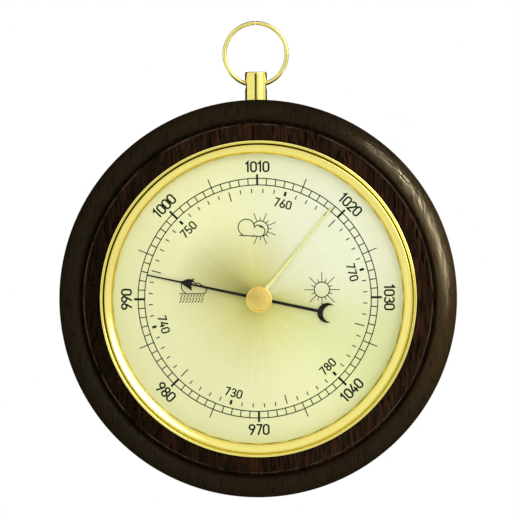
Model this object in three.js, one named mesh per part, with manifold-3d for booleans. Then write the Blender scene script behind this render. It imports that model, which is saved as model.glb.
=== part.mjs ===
// A round aneroid barometer: a brass movement in a turned wood frame, hung by a wire ring.
// Millimetres, +Z up. The dial's axis is the Y axis and the dial faces -Y. The origin is on that axis,
// on the back plane that lies on the wall. "Depth" is the distance in front of that plane, so y = -depth.
// Angles of hands and scales are clockwise from the top, as the dial is read.
import * as THREE from "three";
import { mergeVertices, toCreasedNormals } from "three/addons/utils/BufferGeometryUtils.js";
import loadManifold from "manifold-3d";

const wasm = await loadManifold();
wasm.setup();

// Wood frame
const flatWidth = 5.99;
const mouldingWidth = 7.36;
const mouldingRise = 3.2;
const quirkWidth = 0.75;
const quirkCut = 0.7;
const mouldingFootDrop = 0.1;
const frameBackRounding = 1.6;
const recessMargin = 5.7;
const recessCut = 2.5;

// Case and what it holds
const caseRadius = 49.8;
const caseWall = 0.5;
const caseFloor = 0.6;
const caseStepWidth = 7.8;
const caseStepSlope = 1;
const caseFitClearance = 0.3;
const adjustHoleRadius = 2.8;

// Depths of the movement, dial and glass, each counted from the one behind it
const basePlateLift = 3.0;
const basePlateThickness = 1.2;
const frontPlateGap = 1.05;
const frontPlateThickness = 1.2;
const dialLift = 1.9;
const dialThickness = 0.6;
const glassLift = 4.0;
const glassThickness = 2.0;
const glassStandsOut = 0.8;

// Bezel, rings and dial
const bezelOverhang = 2.85;
const bezelLipOverGlass = 0.6;
const bezelGrooveInset = 1.36;
const bezelGrooveHalfWidth = 0.15;
const bezelGrooveDepth = 0.9;
const bezelBeadHeight = 2.5;
const bezelBandHeight = 2.9;
const bezelBandRounding = 0.35;
const bezelBandCrown = 0.1;
const bezelBeadSteps = 3;
const bezelLipThickness = 0.45;
const bezelSkirtThickness = 0.4;
const bezelSkirtLength = 3.0;
const spacerRingThickness = 0.5;
const dialLedgeWidth = 3.1;
const dialLedgeThickness = 0.8;
const dialHoleRadius = 2.2;

// Hanger
const studRadius = 3.65;
const studHeight = 9.3;
const studShankRadius = 2;
const studShankLength = 8;
const ringHoleClearance = 0.86;
const studHoleHeight = 5.15;
const studChamfer = 0.5;
const studSeatCut = 0.2;
const studSeatMargin = 0.4;
const studTipLength = 1.2;
const ringRadius = 10.37;
const ringWireRadius = 0.69;
const ringSplit = 0.3;
const ringDrop = 0.1;

// Scale and train
const topReading = 1010;
const middleReading = 1005;
const readingAtRest = 992.7;
const degreesPerReading = 4.5;
const setHandAngle = 39;
const pinionTeeth = 10;
const sectorFullTeeth = 120;
const sectorTeethCut = 13;
const toothThicknessShare = 0.84;
const toothRootShare = 1.15;
const toothTipShare = 0.9;
const toothRootGap = 0.02;
const pressureAngle = 20;
const pinionThickness = 1.6;
const sectorThickness = 0.8;
const sectorLift = 1.4;
const sectorRimWidth = 3;
const sectorHubRadius = 2.6;
const sectorSpokeWidth = 1.8;
const sectorSpokeFlare = 0.3;
const sectorWindowIntoRim = 0.4;
const sectorWindowFromHub = 2.4;
const sectorWindowTrim = 0.02;
const sectorWindowFoot = 0.05;
const sectorArborRadius = 0.8;
const tailRadius = 4.4;
const tailWidth = 4;
const tailReachPastPin = 2;
const pinSlotClearance = 0.27;
const pinSlotLengthInward = 1.1;
const pinWidth = 0.8;
const pinReachPastSector = 0.7;

// Rocking shaft and capsule
const capsuleHalfHeight = 2.6;
const capsuleSheet = 0.4;
const capsuleWave = 0.48;
const capsuleWaveShares = [0.4, 0.6, 0.8];
const capsuleRimWidth = 1;
const capsuleWallSlope = 0.6;
const capsuleShoulder = 1.3;
const capsuleHoleClearance = 0.7;
const capsuleNutRadius = 2.6;
const capsuleLift = 0.8;
const capsuleStudRadius = 1.3;
const capsulePostRadius = 0.9;
const capsulePostHeight = 1.5;
const rockerRadius = 0.9;
const rockerCone = 0.9;
const rockerConeShare = 0.75;
const pivotPointShare = 1.2;
const armCollarRadius = 1.55;
const contactArmSpare = 0.05;
const contactArmThickness = 0.8;
const contactArmWidth = 2.6;
const contactGap = 0.3;
const driveArmDrop = 3;
const linkSpread = 1.018;
const bracketThickness = 1;
const bracketWidth = 6;
const bracketHeadWidth = 3.3;
const bracketShoulderDrop = 1.2;
const bracketFoot = 3.2;
const bracketStandOff = 2.1;
const bracketPastTail = 4.4;

// Adjusting leaf and screw
const leafThickness = 0.6;
const leafGap = 0.5;
const leafWidth = 9;
const leafFootLength = 4.4;
const leafStepLength = 1;
const leafScrewInset = 2.4;
const leafScrewSpacing = 5.2;
const adjustScrewRadius = 1.2;
const adjustHeadClearance = 0.6;
const adjustHeadGap = 0.3;
const adjustPointLength = 0.4;
const screwSlotWidth = 0.7;
const screwSlotCut = 0.5;

// Posts and fasteners
const pillarRadius = 1.8;
const tenonRadius = 1;
const nutRadius = 2.2;
const nutHeight = 1.1;
const spacerRadius = 2.4;
const basePlateStepGap = 1.7;
const plateMargin = 4.2;
const screwHeadRadius = 2;
const screwHeadHeight = 1.1;
const screwHeadChamfer = 0.3;
const screwEndGap = 0.6;
const threadStandsOut = 0.3;
const screwRadius = 0.95;
const smallScrewRadius = 0.8;
const smallScrewHeadRadius = 1.7;
const clampThickness = 0.8;
const clampWidth = 8;
const clampReachIn = 4;
const clampRecessGap = 0.6;
const clampCorner = 2;
const clampScrewLength = 6.5;
const clampScrewPoint = 1.2;
const clampCount = 3;

// Hands, hairspring and set knob
const handArborRadius = 0.8;
const handPivotRadius = 0.4;
const handSeatRadius = 0.6;
const handLift = 1.1;
const handThickness = 0.45;
const scaleInset = 11.24;
const handPointGap = 0.36;
const handStemWidth = 0.9;
const handNeedleWidth = 0.54;
const handPointWidth = 0.3;
const handBarbWidth = 4.06;
const handTailWidth = 1;
const crescentRadius = 3.3;
const crescentCutRadius = 2.87;
const crescentCutOffset = 1.4;
const handHubRadius = 1.8;
const handHubRise = 0.4;
const springTurns = 4;
const springInnerRadius = 1.9;
const springPitch = 0.85;
const springStripWidth = 0.25;
const springStripHeight = 0.8;
const springLift = 4.8;
const springStudRadius = 0.7;
const springStudAngle = -45;
const springStudGap = 0.4;
const setHandPastScale = 1.34;
const setHandThickness = 0.4;
const setHandHubRadius = 2.6;
const setHandRootWidth = 2.6;
const setHandNeckWidth = 1.3;
const setHandPointWidth = 0.3;
const setSpindleRadius = 1;
const setSpindleFlange = 0.7;
const washerRadius = 2.4;
const washerThickness = 0.5;
const stackGap = 0.1;
const knobRadius = 4.6;
const knobHeight = 9;
const knobNeckRadius = 2.4;
const knobNeckFlare = 0.36;
const knobShoulderDrop = 0.23;
const knobNeckLength = 1.35;
const knobFlareLength = 4.1;
const knobRimWidth = 0.8;
const knobRimRise = 0.15;
const knobEndRounding = 0.6;
const knobGap = 0.3;
const knobBoreDepth = 5.6;

// The movement's plan, as shares of the base plate's radius, as [x, z] where there are two
const capsuleCentreShares = [-0.459, -0.298];
const capsuleRadiusShare = 0.347;
const sectorPitchShare = 0.496;
const spacerCircleShare = 0.906;
const pillarShares = [[-0.223, 0.298], [0.67, 0.223], [0.347, -0.645]];

// The adjusting leaf, as shares of the capsule's radius
const leafUpShare = 0.786;
const leafDownShare = 1;
const adjustScrewShare = 0.607;

// The hands, as shares of the pressure hand's length
const handNotchShare = 0.611;
const handBarbShare = 0.597;
const handArrowEndShare = 0.701;
const handArrowWaistShare = 0.4;
const handTailShare = 0.565;
const crescentShare = 0.627;
const setHandNeckShare = 0.213;

// Clearances, each on the radius
const threadClearance = 0.1;
const runningClearance = 0.15;
const ringFitClearance = 0.1;

// How finely round pieces are cut
const frameSides = 50;
const innerRingSides = 36;
const discSides = 24;
const postSides = 10;
const crescentSides = 20;
const holeSides = 16;
const hubSides = 14;
const wireSides = 8;

// How far a cutting shape runs past what it cuts
const overshoot = 1;

// Radii that follow from the case's radius
const caseInner = caseRadius - caseWall;
const caseStepRadius = caseRadius - caseStepWidth;
const boreRadius = caseRadius + caseFitClearance;
const recessRadius = caseRadius + recessMargin;
const bezelRadius = caseRadius + bezelOverhang;
const bezelGrooveRadius = bezelRadius - bezelGrooveInset;
const mouldingInner = bezelRadius + flatWidth;
const frameRadius = mouldingInner + mouldingWidth;
const skirtOuter = caseInner - ringFitClearance;
const skirtInner = skirtOuter - bezelSkirtThickness;
const glassRadius = skirtInner - ringFitClearance;
const bezelLipRadius = glassRadius - bezelLipOverGlass;
const dialRadius = caseInner - 2 * ringFitClearance;
const scaleRadius = dialRadius - scaleInset;
const handLength = scaleRadius - handPointGap;
const setHandLength = scaleRadius + setHandPastScale;
const basePlateRadius = caseStepRadius - basePlateStepGap;
const capsuleRadius = capsuleRadiusShare * basePlateRadius;
const sectorPitchRadius = sectorPitchShare * basePlateRadius;
const toothModule = (2 * sectorPitchRadius) / sectorFullTeeth;
const pinionPitchRadius = (toothModule * pinionTeeth) / 2;
const gearRatio = sectorFullTeeth / pinionTeeth;

// Depths that follow from the sizes above
const basePlateBack = caseFloor + basePlateLift;
const basePlateFront = basePlateBack + basePlateThickness;
const sectorBack = basePlateFront + sectorLift;
const sectorMiddle = sectorBack + sectorThickness / 2;
const capsuleBack = basePlateFront + capsuleLift;
const capsuleMiddle = capsuleBack + capsuleHalfHeight;
const capsulePostBack = capsuleMiddle + capsuleHalfHeight;
const rockerDepth = capsulePostBack + capsulePostHeight + contactGap + contactArmThickness / 2;
const frontPlateBack = rockerDepth + armCollarRadius + frontPlateGap;
const frontPlateFront = frontPlateBack + frontPlateThickness;
const dialBack = frontPlateFront + dialLift;
const dialFront = dialBack + dialThickness;
const glassBack = dialFront + glassLift;
const glassFront = glassBack + glassThickness;
const flatDepth = glassFront - glassStandsOut;
const crestFoot = flatDepth - mouldingFootDrop;
const studDepth = (frameBackRounding + crestFoot) / 2;
const leafBack = basePlateBack - leafGap - leafThickness;
const leafFront = leafBack + leafThickness;

// The contact arm's length keeps the capsule's post clear of the arm's collar.
const contactArmLength = armCollarRadius + capsulePostRadius + contactArmSpare;

// Places in the plane of the dial, as [x, z] where there are two
const [capsuleCentreX, capsuleCentreZ] = capsuleCentreShares.map((share) => share * basePlateRadius);
const capsuleShoulderRadius = capsuleStudRadius + capsuleShoulder;
const rockerZ = capsuleCentreZ + contactArmLength;
const sectorZ = rockerZ - driveArmDrop;
const sectorX = Math.sqrt((pinionPitchRadius + sectorPitchRadius) ** 2 - sectorZ ** 2);
const driveArmX = sectorX + tailRadius;
const driveArmReach = rockerDepth - sectorMiddle;
const leafReachUp = leafUpShare * capsuleRadius;
const leafReachDown = leafDownShare * capsuleRadius;
const adjustScrewOffset = adjustScrewShare * capsuleRadius;
const pillarPlaces = pillarShares.map((place) => place.map((share) => share * basePlateRadius));
const spacerPlaces = [-15, 125, 215].map((angle) => placeOnDial(spacerCircleShare * basePlateRadius, angle));
const leafScrewPlaces = [-1, 1].map((side) => [
  capsuleCentreX + (side * leafScrewSpacing) / 2,
  capsuleCentreZ - leafReachDown + leafScrewInset,
]);
const adjustScrewPlace = [capsuleCentreX, capsuleCentreZ + adjustScrewOffset];
const springEndRadius = springInnerRadius + springTurns * springPitch;
const springStudPlace = placeOnDial(springEndRadius + springStudRadius + springStudGap, springStudAngle);
const studHoleRadius = ringWireRadius + ringHoleClearance;

// Turns at rest, counted from the middle reading, at which the mechanism stands square. The pin
// moves along a tangent of the sector's turn, so the shaft turns a little more than in proportion.
const rockerPerSectorTurn = (linkSpread * tailRadius) / driveArmReach;
const handTurnAtRest = THREE.MathUtils.degToRad((readingAtRest - middleReading) * degreesPerReading);
const sectorTurnAtRest = -handTurnAtRest / gearRatio;
const rockerTurnAtRest = -sectorTurnAtRest * rockerPerSectorTurn;
const capsuleShiftAtRest = rockerTurnAtRest * contactArmLength;
const middleHandAngle = THREE.MathUtils.degToRad((middleReading - topReading) * degreesPerReading);

const materials = {
  wood: finish(0x2a1d17, 0.42, 0),
  polishedBrass: finish(0xd9a826, 0.18, 1),
  satinBrass: finish(0xd49a2c, 0.38, 1),
  movementBrass: finish(0xb99a4b, 0.35, 1),
  steel: finish(0x9a9da1, 0.32, 1),
  springSteel: finish(0x6f7f9a, 0.3, 1),
  caseSteel: finish(0xb9a566, 0.4, 1),
  capsule: finish(0xc2b08a, 0.28, 1),
  dial: finish(0xe3e2ad, 0.45, 0.3),
  blackPaint: finish(0x111111, 0.5, 0),
  glass: finish(0xeef5f2, 0.05, 0),
};

const barometer = new THREE.Group();
barometer.name = "barometer";

addFrame();
addHanger();
addCase();
addDialAndGlass();
addPlates();
addCapsule();
addRocker();
addSector();
addHand();
addSetHand();

export default barometer;

// Pieces

function addFrame() {
  addPiece("wood_frame", woodFrame(), materials.wood);
  for (let i = 0; i < clampCount; i += 1) {
    const around = new THREE.Group();
    around.rotation.y = THREE.MathUtils.degToRad(90 + (360 / clampCount) * i);
    barometer.add(around);
    addPiece(`case_clamp_${i + 1}`, caseClamp(), materials.steel, around);
    addPiece(`clamp_screw_${i + 1}`, clampScrew(), materials.satinBrass, around);
  }
}

// The frame's section: a half round at the rim, a V quirk, a flat ring that carries the bezel and,
// behind, a recess for the clamps.
function woodFrame() {
  const crest = [];
  const crestCentre = (frameRadius + mouldingInner) / 2;
  const crestSteps = 8;
  for (let i = 0; i <= crestSteps; i += 1) {
    const turn = (Math.PI * i) / crestSteps;
    crest.push([
      crestCentre + (mouldingWidth / 2) * Math.cos(turn),
      crestFoot + mouldingRise * Math.sin(turn),
    ]);
  }
  const backCorner = frameBackRounding * (1 - Math.SQRT1_2);
  const section = [
    [recessRadius, 0],
    [frameRadius - frameBackRounding, 0],
    [frameRadius - backCorner, backCorner],
    [frameRadius, frameBackRounding],
    ...crest,
    [mouldingInner - quirkWidth / 2, flatDepth - quirkCut],
    [mouldingInner - quirkWidth, flatDepth],
    [boreRadius, flatDepth],
    [boreRadius, recessCut],
    [recessRadius, recessCut],
  ];
  const shankEnd = studSeatHeight() - studShankLength - screwEndGap;
  const cutTop = frameRadius + overshoot;
  const fromAbove = (radius, bottom, sides) =>
    turnedAlongZ([[0, bottom], [radius, bottom], [radius, cutTop], [0, cutTop]], sides)
      .translate(0, -studDepth, 0);
  const shankHole = fromAbove(studShankRadius + threadClearance, shankEnd, postSides);
  const seatCut = fromAbove(studRadius + studSeatMargin, studSeatHeight(), discSides);
  const screwHoles = [];
  for (let i = 0; i < clampCount; i += 1) {
    const hole = rod(
      screwRadius + threadClearance,
      recessCut - overshoot,
      recessCut + clampScrewLength + screwEndGap,
      postSides,
    ).translate(0, 0, clampScrewRadius());
    screwHoles.push(hole.rotateY(THREE.MathUtils.degToRad(90 + (360 / clampCount) * i)));
  }
  return cut(turned(section, frameSides), shankHole, seatCut, ...screwHoles);
}

// The stud sits on a small round flat cut into the rim.
function studSeatHeight() {
  return frameRadius - studSeatCut;
}

function clampScrewRadius() {
  return (boreRadius + recessRadius) / 2;
}

// A clamp lies across the joint between the case's rear step and the floor of the frame's recess.
function caseClamp() {
  const inner = caseRadius - clampReachIn;
  const outer = recessRadius - clampRecessGap;
  const outline = roundedBar(clampWidth, inner, outer, clampCorner);
  outline.holes.push(circlePath(screwRadius + threadClearance, postSides, 0, clampScrewRadius()));
  return plate(outline, recessCut - clampThickness, clampThickness);
}

function clampScrew() {
  const seat = recessCut - clampThickness;
  return turned(
    [
      [0, seat - screwHeadHeight],
      [screwHeadRadius / 2, seat - screwHeadHeight],
      [screwHeadRadius, seat - screwHeadChamfer],
      [screwHeadRadius, seat],
      [screwRadius, seat],
      [screwRadius, recessCut + clampScrewLength - clampScrewPoint],
      [0, recessCut + clampScrewLength],
    ],
    postSides,
  ).translate(0, 0, clampScrewRadius());
}

function addHanger() {
  addPiece("hanger_stud", hangerStud(), materials.polishedBrass);
  const swing = new THREE.Group();
  swing.position.set(0, -studDepth, studSeatHeight() + studHoleHeight);
  barometer.add(swing);
  addPiece("hanging_ring", hangingRing(), materials.polishedBrass, swing);
}

function hangerStud() {
  const seat = studSeatHeight();
  const top = frameRadius + studHeight;
  const stud = turnedAlongZ(
    [
      [0, seat - studShankLength],
      [studShankRadius / 2, seat - studShankLength],
      [studShankRadius, seat - studShankLength + studTipLength],
      [studShankRadius, seat],
      [studRadius, seat],
      [studRadius, top - studChamfer],
      [studRadius - studChamfer, top],
      [0, top],
    ],
    discSides,
  );
  const side = studRadius + overshoot;
  const hole = turnedAlongX(
    [[0, -side], [studHoleRadius, -side], [studHoleRadius, side], [0, side]],
    holeSides,
  ).translate(0, 0, seat + studHoleHeight);
  return cut(stud, hole).translate(0, -studDepth, 0);
}

// A wire bent round with its two ends butted at the top. Its own origin is the axis that it swings on.
function hangingRing() {
  const halfSplit = ringSplit / 2 / ringRadius;
  const circle = new THREE.Curve();
  circle.getPoint = (t, target = new THREE.Vector3()) => {
    const angle = halfSplit + (2 * Math.PI - 2 * halfSplit) * t;
    return target.set(ringRadius * Math.sin(angle), 0, ringRadius * Math.cos(angle));
  };
  return closed(
    new THREE.ExtrudeGeometry(new THREE.Shape(circlePoints(ringWireRadius, wireSides)), {
      steps: innerRingSides,
      extrudePath: circle,
    }),
  ).translate(0, 0, ringRadius - ringDrop);
}

function addCase() {
  addPiece("movement_case", movementCase(), materials.caseSteel);
  addPiece("bezel", bezel(), materials.polishedBrass);
}

// A drawn can whose floor touches the wall plane, with a step round it for the clamps.
function movementCase() {
  const section = [
    [0, 0],
    [caseStepRadius - caseStepSlope, 0],
    [caseStepRadius, recessCut],
    [caseRadius - caseWall, recessCut],
    [caseRadius, recessCut + caseWall],
    [caseRadius, flatDepth],
    [caseInner, flatDepth],
    [caseInner, recessCut + caseFloor],
    [caseStepRadius - caseWall, recessCut + caseFloor],
    [caseStepRadius - caseWall - caseStepSlope, caseFloor],
    [0, caseFloor],
  ];
  const hole = rod(adjustHoleRadius, -overshoot, caseFloor + overshoot, holeSides);
  hole.translate(adjustScrewPlace[0], 0, adjustScrewPlace[1]);
  return cut(turned(section, frameSides), hole);
}

// A rounded outer bead, a fine groove, and a band that falls towards the glass.
function bezel() {
  const beadRound = (bezelRadius - bezelGrooveRadius - bezelGrooveHalfWidth) / 2;
  const beadCentre = bezelRadius - beadRound;
  const beadTop = flatDepth + bezelBeadHeight;
  const bead = [];
  for (let i = 0; i <= bezelBeadSteps; i += 1) {
    const turn = (Math.PI * i) / (bezelBeadSteps + 1);
    bead.push([beadCentre + beadRound * Math.cos(turn), beadTop - beadRound * (1 - Math.sin(turn))]);
  }
  const bandTop = flatDepth + bezelBandHeight;
  const lipTop = glassFront + bezelLipThickness;
  const bandOuter = bezelGrooveRadius - bezelGrooveHalfWidth;
  return turned(
    [
      [bezelLipRadius, glassFront],
      [skirtInner, glassFront],
      [skirtInner, glassFront - bezelSkirtLength],
      [skirtOuter, glassFront - bezelSkirtLength],
      [skirtOuter, flatDepth],
      [bezelRadius, flatDepth],
      ...bead,
      [bezelGrooveRadius, beadTop - bezelGrooveDepth],
      [bandOuter, bandTop - bezelBandRounding],
      [bandOuter - bezelBandRounding, bandTop],
      [(bandOuter + bezelLipRadius) / 2, (bandTop + lipTop) / 2 + bezelBandCrown],
      [bezelLipRadius, lipTop],
    ],
    frameSides,
  );
}

// The dial lies on a ledge that stands on the case's step; a ring on the dial carries the glass.
function addDialAndGlass() {
  const ledgeOuter = dialRadius;
  const ledgeInner = ledgeOuter - dialLedgeWidth;
  const ledgeBack = dialBack - dialLedgeThickness;
  const sleeveInner = ledgeOuter - spacerRingThickness;
  const seatRing = [
    [ledgeInner, ledgeBack],
    [sleeveInner, ledgeBack],
    [sleeveInner, recessCut + caseFloor],
    [ledgeOuter, recessCut + caseFloor],
    [ledgeOuter, dialBack],
    [ledgeInner, dialBack],
  ];
  const spacerInner = glassRadius - spacerRingThickness;
  const spacerRing = [
    [spacerInner, dialFront],
    [glassRadius, dialFront],
    [glassRadius, glassBack],
    [spacerInner, glassBack],
  ];
  addPiece("dial_seat_ring", turned(seatRing, innerRingSides), materials.movementBrass);
  addPiece("dial", disc(dialHoleRadius, dialRadius, dialBack, dialFront), materials.dial);
  addPiece("glass_spacer_ring", turned(spacerRing, innerRingSides), materials.polishedBrass);
  const holeRadius = setSpindleRadius + 2 * runningClearance;
  addPiece("glass", disc(holeRadius, glassRadius, glassBack, glassFront), materials.glass);
}

// Two plates: the base plate stands on three spacers, and three pillars carry the front plate.
function addPlates() {
  addPiece("base_plate", basePlate(), materials.movementBrass);
  addPiece("front_plate", frontPlate(), materials.movementBrass);
  pillarPlaces.forEach(([x, z], i) => {
    addPiece(`pillar_${i + 1}`, pillar().translate(x, 0, z), materials.movementBrass);
    addPiece(`pillar_nut_${i + 1}`, nut(frontPlateFront, nutHeight).translate(x, 0, z), materials.steel);
  });
  spacerPlaces.forEach(([x, z], i) => {
    addPiece(`spacer_${i + 1}`, spacer().translate(x, 0, z), materials.movementBrass);
    addPiece(`case_screw_${i + 1}`, caseScrew().translate(x, 0, z), materials.steel);
  });
}

function basePlate() {
  const outline = new THREE.Shape(circlePoints(basePlateRadius, innerRingSides));
  const hole = (radius, x, z, sides = postSides) => outline.holes.push(circlePath(radius, sides, x, z));
  hole(handPivotRadius + threadClearance, 0, 0);
  hole(handPivotRadius + threadClearance, sectorX, sectorZ);
  hole(capsuleShoulderRadius + capsuleHoleClearance, capsuleCentreX, capsuleCentreZ, discSides);
  for (const [x, z] of pillarPlaces) hole(tenonRadius + threadClearance, x, z);
  for (const [x, z] of spacerPlaces) hole(screwRadius + threadClearance, x, z);
  for (const [x, z] of leafScrewPlaces) hole(smallScrewRadius + threadClearance, x, z);
  return plate(outline, basePlateBack, basePlateThickness);
}

function frontPlate() {
  const outline = roundedTriangle(pillarPlaces, plateMargin);
  const hole = (radius, x, z) => outline.holes.push(circlePath(radius, postSides, x, z));
  hole(handArborRadius + runningClearance, 0, 0);
  hole(handPivotRadius + threadClearance, sectorX, sectorZ);
  for (const [x, z] of pillarPlaces) hole(tenonRadius + threadClearance, x, z);
  return plate(outline, frontPlateBack, frontPlateThickness);
}

function pillar() {
  return turned(
    [
      [0, basePlateBack],
      [tenonRadius, basePlateBack],
      [tenonRadius, basePlateFront],
      [pillarRadius, basePlateFront],
      [pillarRadius, frontPlateBack],
      [tenonRadius, frontPlateBack],
      [tenonRadius, frontPlateFront + nutHeight + threadStandsOut],
      [0, frontPlateFront + nutHeight + threadStandsOut],
    ],
    postSides,
  );
}

function nut(back, height) {
  const outline = new THREE.Shape(circlePoints(nutRadius, 6));
  outline.holes.push(circlePath(tenonRadius + threadClearance, postSides));
  return plate(outline, back, height);
}

function spacer() {
  const bore = screwRadius + threadClearance;
  return turned(
    [
      [bore, caseFloor],
      [spacerRadius, caseFloor],
      [spacerRadius, basePlateBack],
      [bore, basePlateBack],
    ],
    postSides,
  );
}

function caseScrew() {
  return turned(
    [
      [0, caseFloor + screwEndGap],
      [screwRadius, caseFloor + screwEndGap],
      [screwRadius, basePlateFront],
      [screwHeadRadius, basePlateFront],
      [screwHeadRadius, basePlateFront + screwHeadHeight - screwHeadChamfer],
      [screwHeadRadius - screwHeadChamfer, basePlateFront + screwHeadHeight],
      [0, basePlateFront + screwHeadHeight],
    ],
    postSides,
  );
}

// The capsule is two corrugated shells. Its stud passes the base plate and is held on a leaf behind
// it, which the adjusting screw bends.
function addCapsule() {
  const place = (geometry) => geometry.translate(capsuleCentreX, 0, capsuleCentreZ);
  addPiece("adjust_leaf", place(adjustLeaf()), materials.steel);
  leafScrewPlaces.forEach(([x, z], i) => {
    addPiece(`leaf_screw_${i + 1}`, leafScrew().translate(x, 0, z), materials.steel);
  });
  const adjuster = adjustScrew().translate(adjustScrewPlace[0], 0, adjustScrewPlace[1]);
  addPiece("adjust_screw", adjuster, materials.satinBrass);
  addPiece("capsule_back", place(capsuleShell(capsuleBack, true)), materials.capsule);
  addPiece("capsule_nut", place(capsuleNut()), materials.steel);
  const frontShell = capsuleShell(capsulePostBack - capsuleShiftAtRest, false);
  addPiece("capsule_front", place(frontShell), materials.capsule);
  const post = turned(
    [
      [0, capsulePostBack],
      [capsulePostRadius, capsulePostBack],
      [capsulePostRadius, capsulePostBack + capsulePostHeight - screwHeadChamfer],
      [capsulePostRadius - screwHeadChamfer, capsulePostBack + capsulePostHeight],
      [0, capsulePostBack + capsulePostHeight],
    ],
    postSides,
  );
  const travel = new THREE.Group();
  travel.position.y = capsuleShiftAtRest;
  barometer.add(travel);
  addPiece("capsule_post", place(post), materials.movementBrass, travel);
}

// One half of the capsule: a rim, a wall and a corrugated face at the given depth, which carries
// the stud where asked. The two rims meet at the capsule's middle.
function capsuleShell(faceDepth, withStud) {
  const inward = Math.sign(capsuleMiddle - faceDepth);
  const wallRadius = capsuleRadius - capsuleRimWidth;
  const at = (radius, fromFace) => [radius, faceDepth + inward * fromFace];
  const flatRadius = capsuleShoulderRadius;
  const rings = capsuleWaveShares.map((share) => flatRadius + (wallRadius - flatRadius) * share);
  const outside = [at(flatRadius, 0), at(rings[0], capsuleWave), at(rings[1], 0), at(rings[2], capsuleWave)];
  const inside = [...outside].reverse().map(([radius, depth]) => [radius, depth + inward * capsuleSheet]);
  const rimStart = capsuleMiddle - inward * capsuleSheet;
  const centre = [[0, faceDepth + inward * capsuleSheet], at(0, 0)];
  const stud = [
    [0, leafBack - nutHeight],
    [capsuleStudRadius, leafBack - nutHeight],
    [capsuleStudRadius, leafFront],
    [flatRadius, leafFront],
  ];
  return turned(
    [
      ...(withStud ? stud : [centre[1]]),
      ...outside,
      at(wallRadius - capsuleWallSlope, 0),
      [wallRadius, rimStart],
      [capsuleRadius, rimStart],
      [capsuleRadius, capsuleMiddle],
      [wallRadius - capsuleSheet, capsuleMiddle],
      at(wallRadius - capsuleWallSlope - capsuleSheet, capsuleSheet),
      ...inside,
      centre[0],
    ],
    discSides,
  );
}

function capsuleNut() {
  const outline = new THREE.Shape(circlePoints(capsuleNutRadius, 6));
  outline.holes.push(circlePath(capsuleStudRadius + threadClearance, discSides));
  return plate(outline, leafBack - nutHeight, nutHeight);
}

// A leaf with a step: its lower end lies on the base plate, and its free end stands off by a gap.
function adjustLeaf() {
  const side = new THREE.Shape();
  const footTop = leafFootLength - leafReachDown;
  const stepTop = footTop + leafStepLength;
  side.moveTo(leafBack, leafReachUp);
  side.lineTo(leafFront, leafReachUp);
  side.lineTo(leafFront, stepTop);
  side.lineTo(basePlateBack, footTop);
  side.lineTo(basePlateBack, -leafReachDown);
  side.lineTo(basePlateBack - leafThickness, -leafReachDown);
  side.lineTo(basePlateBack - leafThickness, footTop);
  side.lineTo(leafBack, stepTop);
  const strip = closed(new THREE.ExtrudeGeometry(side, { depth: leafWidth, bevelEnabled: false }))
    .translate(0, 0, -leafWidth / 2)
    .applyMatrix4(new THREE.Matrix4().makeBasis(
      new THREE.Vector3(0, -1, 0),
      new THREE.Vector3(0, 0, 1),
      new THREE.Vector3(-1, 0, 0),
    ));
  const through = (radius, x, z, sides = postSides) =>
    rod(radius, 0, basePlateFront, sides).translate(x, 0, z);
  const screwHoles = leafScrewPlaces.map(([x, z]) =>
    through(smallScrewRadius + threadClearance, x - capsuleCentreX, z - capsuleCentreZ),
  );
  return cut(
    strip,
    through(capsuleStudRadius + threadClearance, 0, 0, discSides),
    through(adjustScrewRadius + threadClearance, 0, adjustScrewOffset),
    ...screwHoles,
  );
}

function leafScrew() {
  const seat = basePlateBack - leafThickness;
  return turned(
    [
      [0, seat - screwHeadHeight],
      [smallScrewHeadRadius - screwHeadChamfer, seat - screwHeadHeight],
      [smallScrewHeadRadius, seat - screwHeadHeight + screwHeadChamfer],
      [smallScrewHeadRadius, seat],
      [smallScrewRadius, seat],
      [smallScrewRadius, basePlateFront],
      [0, basePlateFront],
    ],
    postSides,
  );
}

// The screw runs in the leaf and presses on the base plate; its slotted head is reached through the
// hole in the case.
function adjustScrew() {
  const headRadius = adjustHoleRadius - adjustHeadClearance;
  const headBack = caseFloor + adjustHeadGap;
  const headFront = leafBack - adjustPointLength;
  const body = turned(
    [
      [0, headBack],
      [headRadius, headBack],
      [headRadius, headFront],
      [adjustScrewRadius, headFront],
      [adjustScrewRadius, basePlateBack - adjustPointLength],
      [adjustScrewRadius - adjustPointLength, basePlateBack],
      [0, basePlateBack],
    ],
    postSides,
  );
  const slot = new THREE.BoxGeometry(3 * headRadius, 2 * screwSlotCut, screwSlotWidth);
  slot.translate(0, -headBack, 0);
  return cut(body, slot);
}

// The rocking shaft turns between two pointed screws. One arm rests on the capsule's post, the other
// reaches back into the slot of the sector's tail.
function addRocker() {
  const rocker = new THREE.Group();
  rocker.position.set(0, -rockerDepth, rockerZ);
  rocker.rotation.x = rockerTurnAtRest;
  barometer.add(rocker);
  addPiece("rocker_shaft", rockerShaft(), materials.steel, rocker);
  addPiece("contact_arm", contactArm().translate(capsuleCentreX, 0, 0), materials.movementBrass, rocker);
  addPiece("drive_arm", driveArm().translate(driveArmX, 0, 0), materials.movementBrass, rocker);
  const ends = [["left", rockerLeft(), Math.PI], ["right", rockerRight(), 0]];
  for (const [side, x, turn] of ends) {
    const end = new THREE.Group();
    end.position.set(x, 0, rockerZ);
    end.rotation.y = turn;
    barometer.add(end);
    addPiece(`bearing_bracket_${side}`, bearingBracket(), materials.movementBrass, end);
    addPiece(`pivot_screw_${side}`, pivotScrew(), materials.steel, end);
  }
}

function rockerLeft() {
  return capsuleCentreX - capsuleRadius - bracketStandOff;
}

function rockerRight() {
  return driveArmX + tailReachPastPin + bracketPastTail;
}

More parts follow.
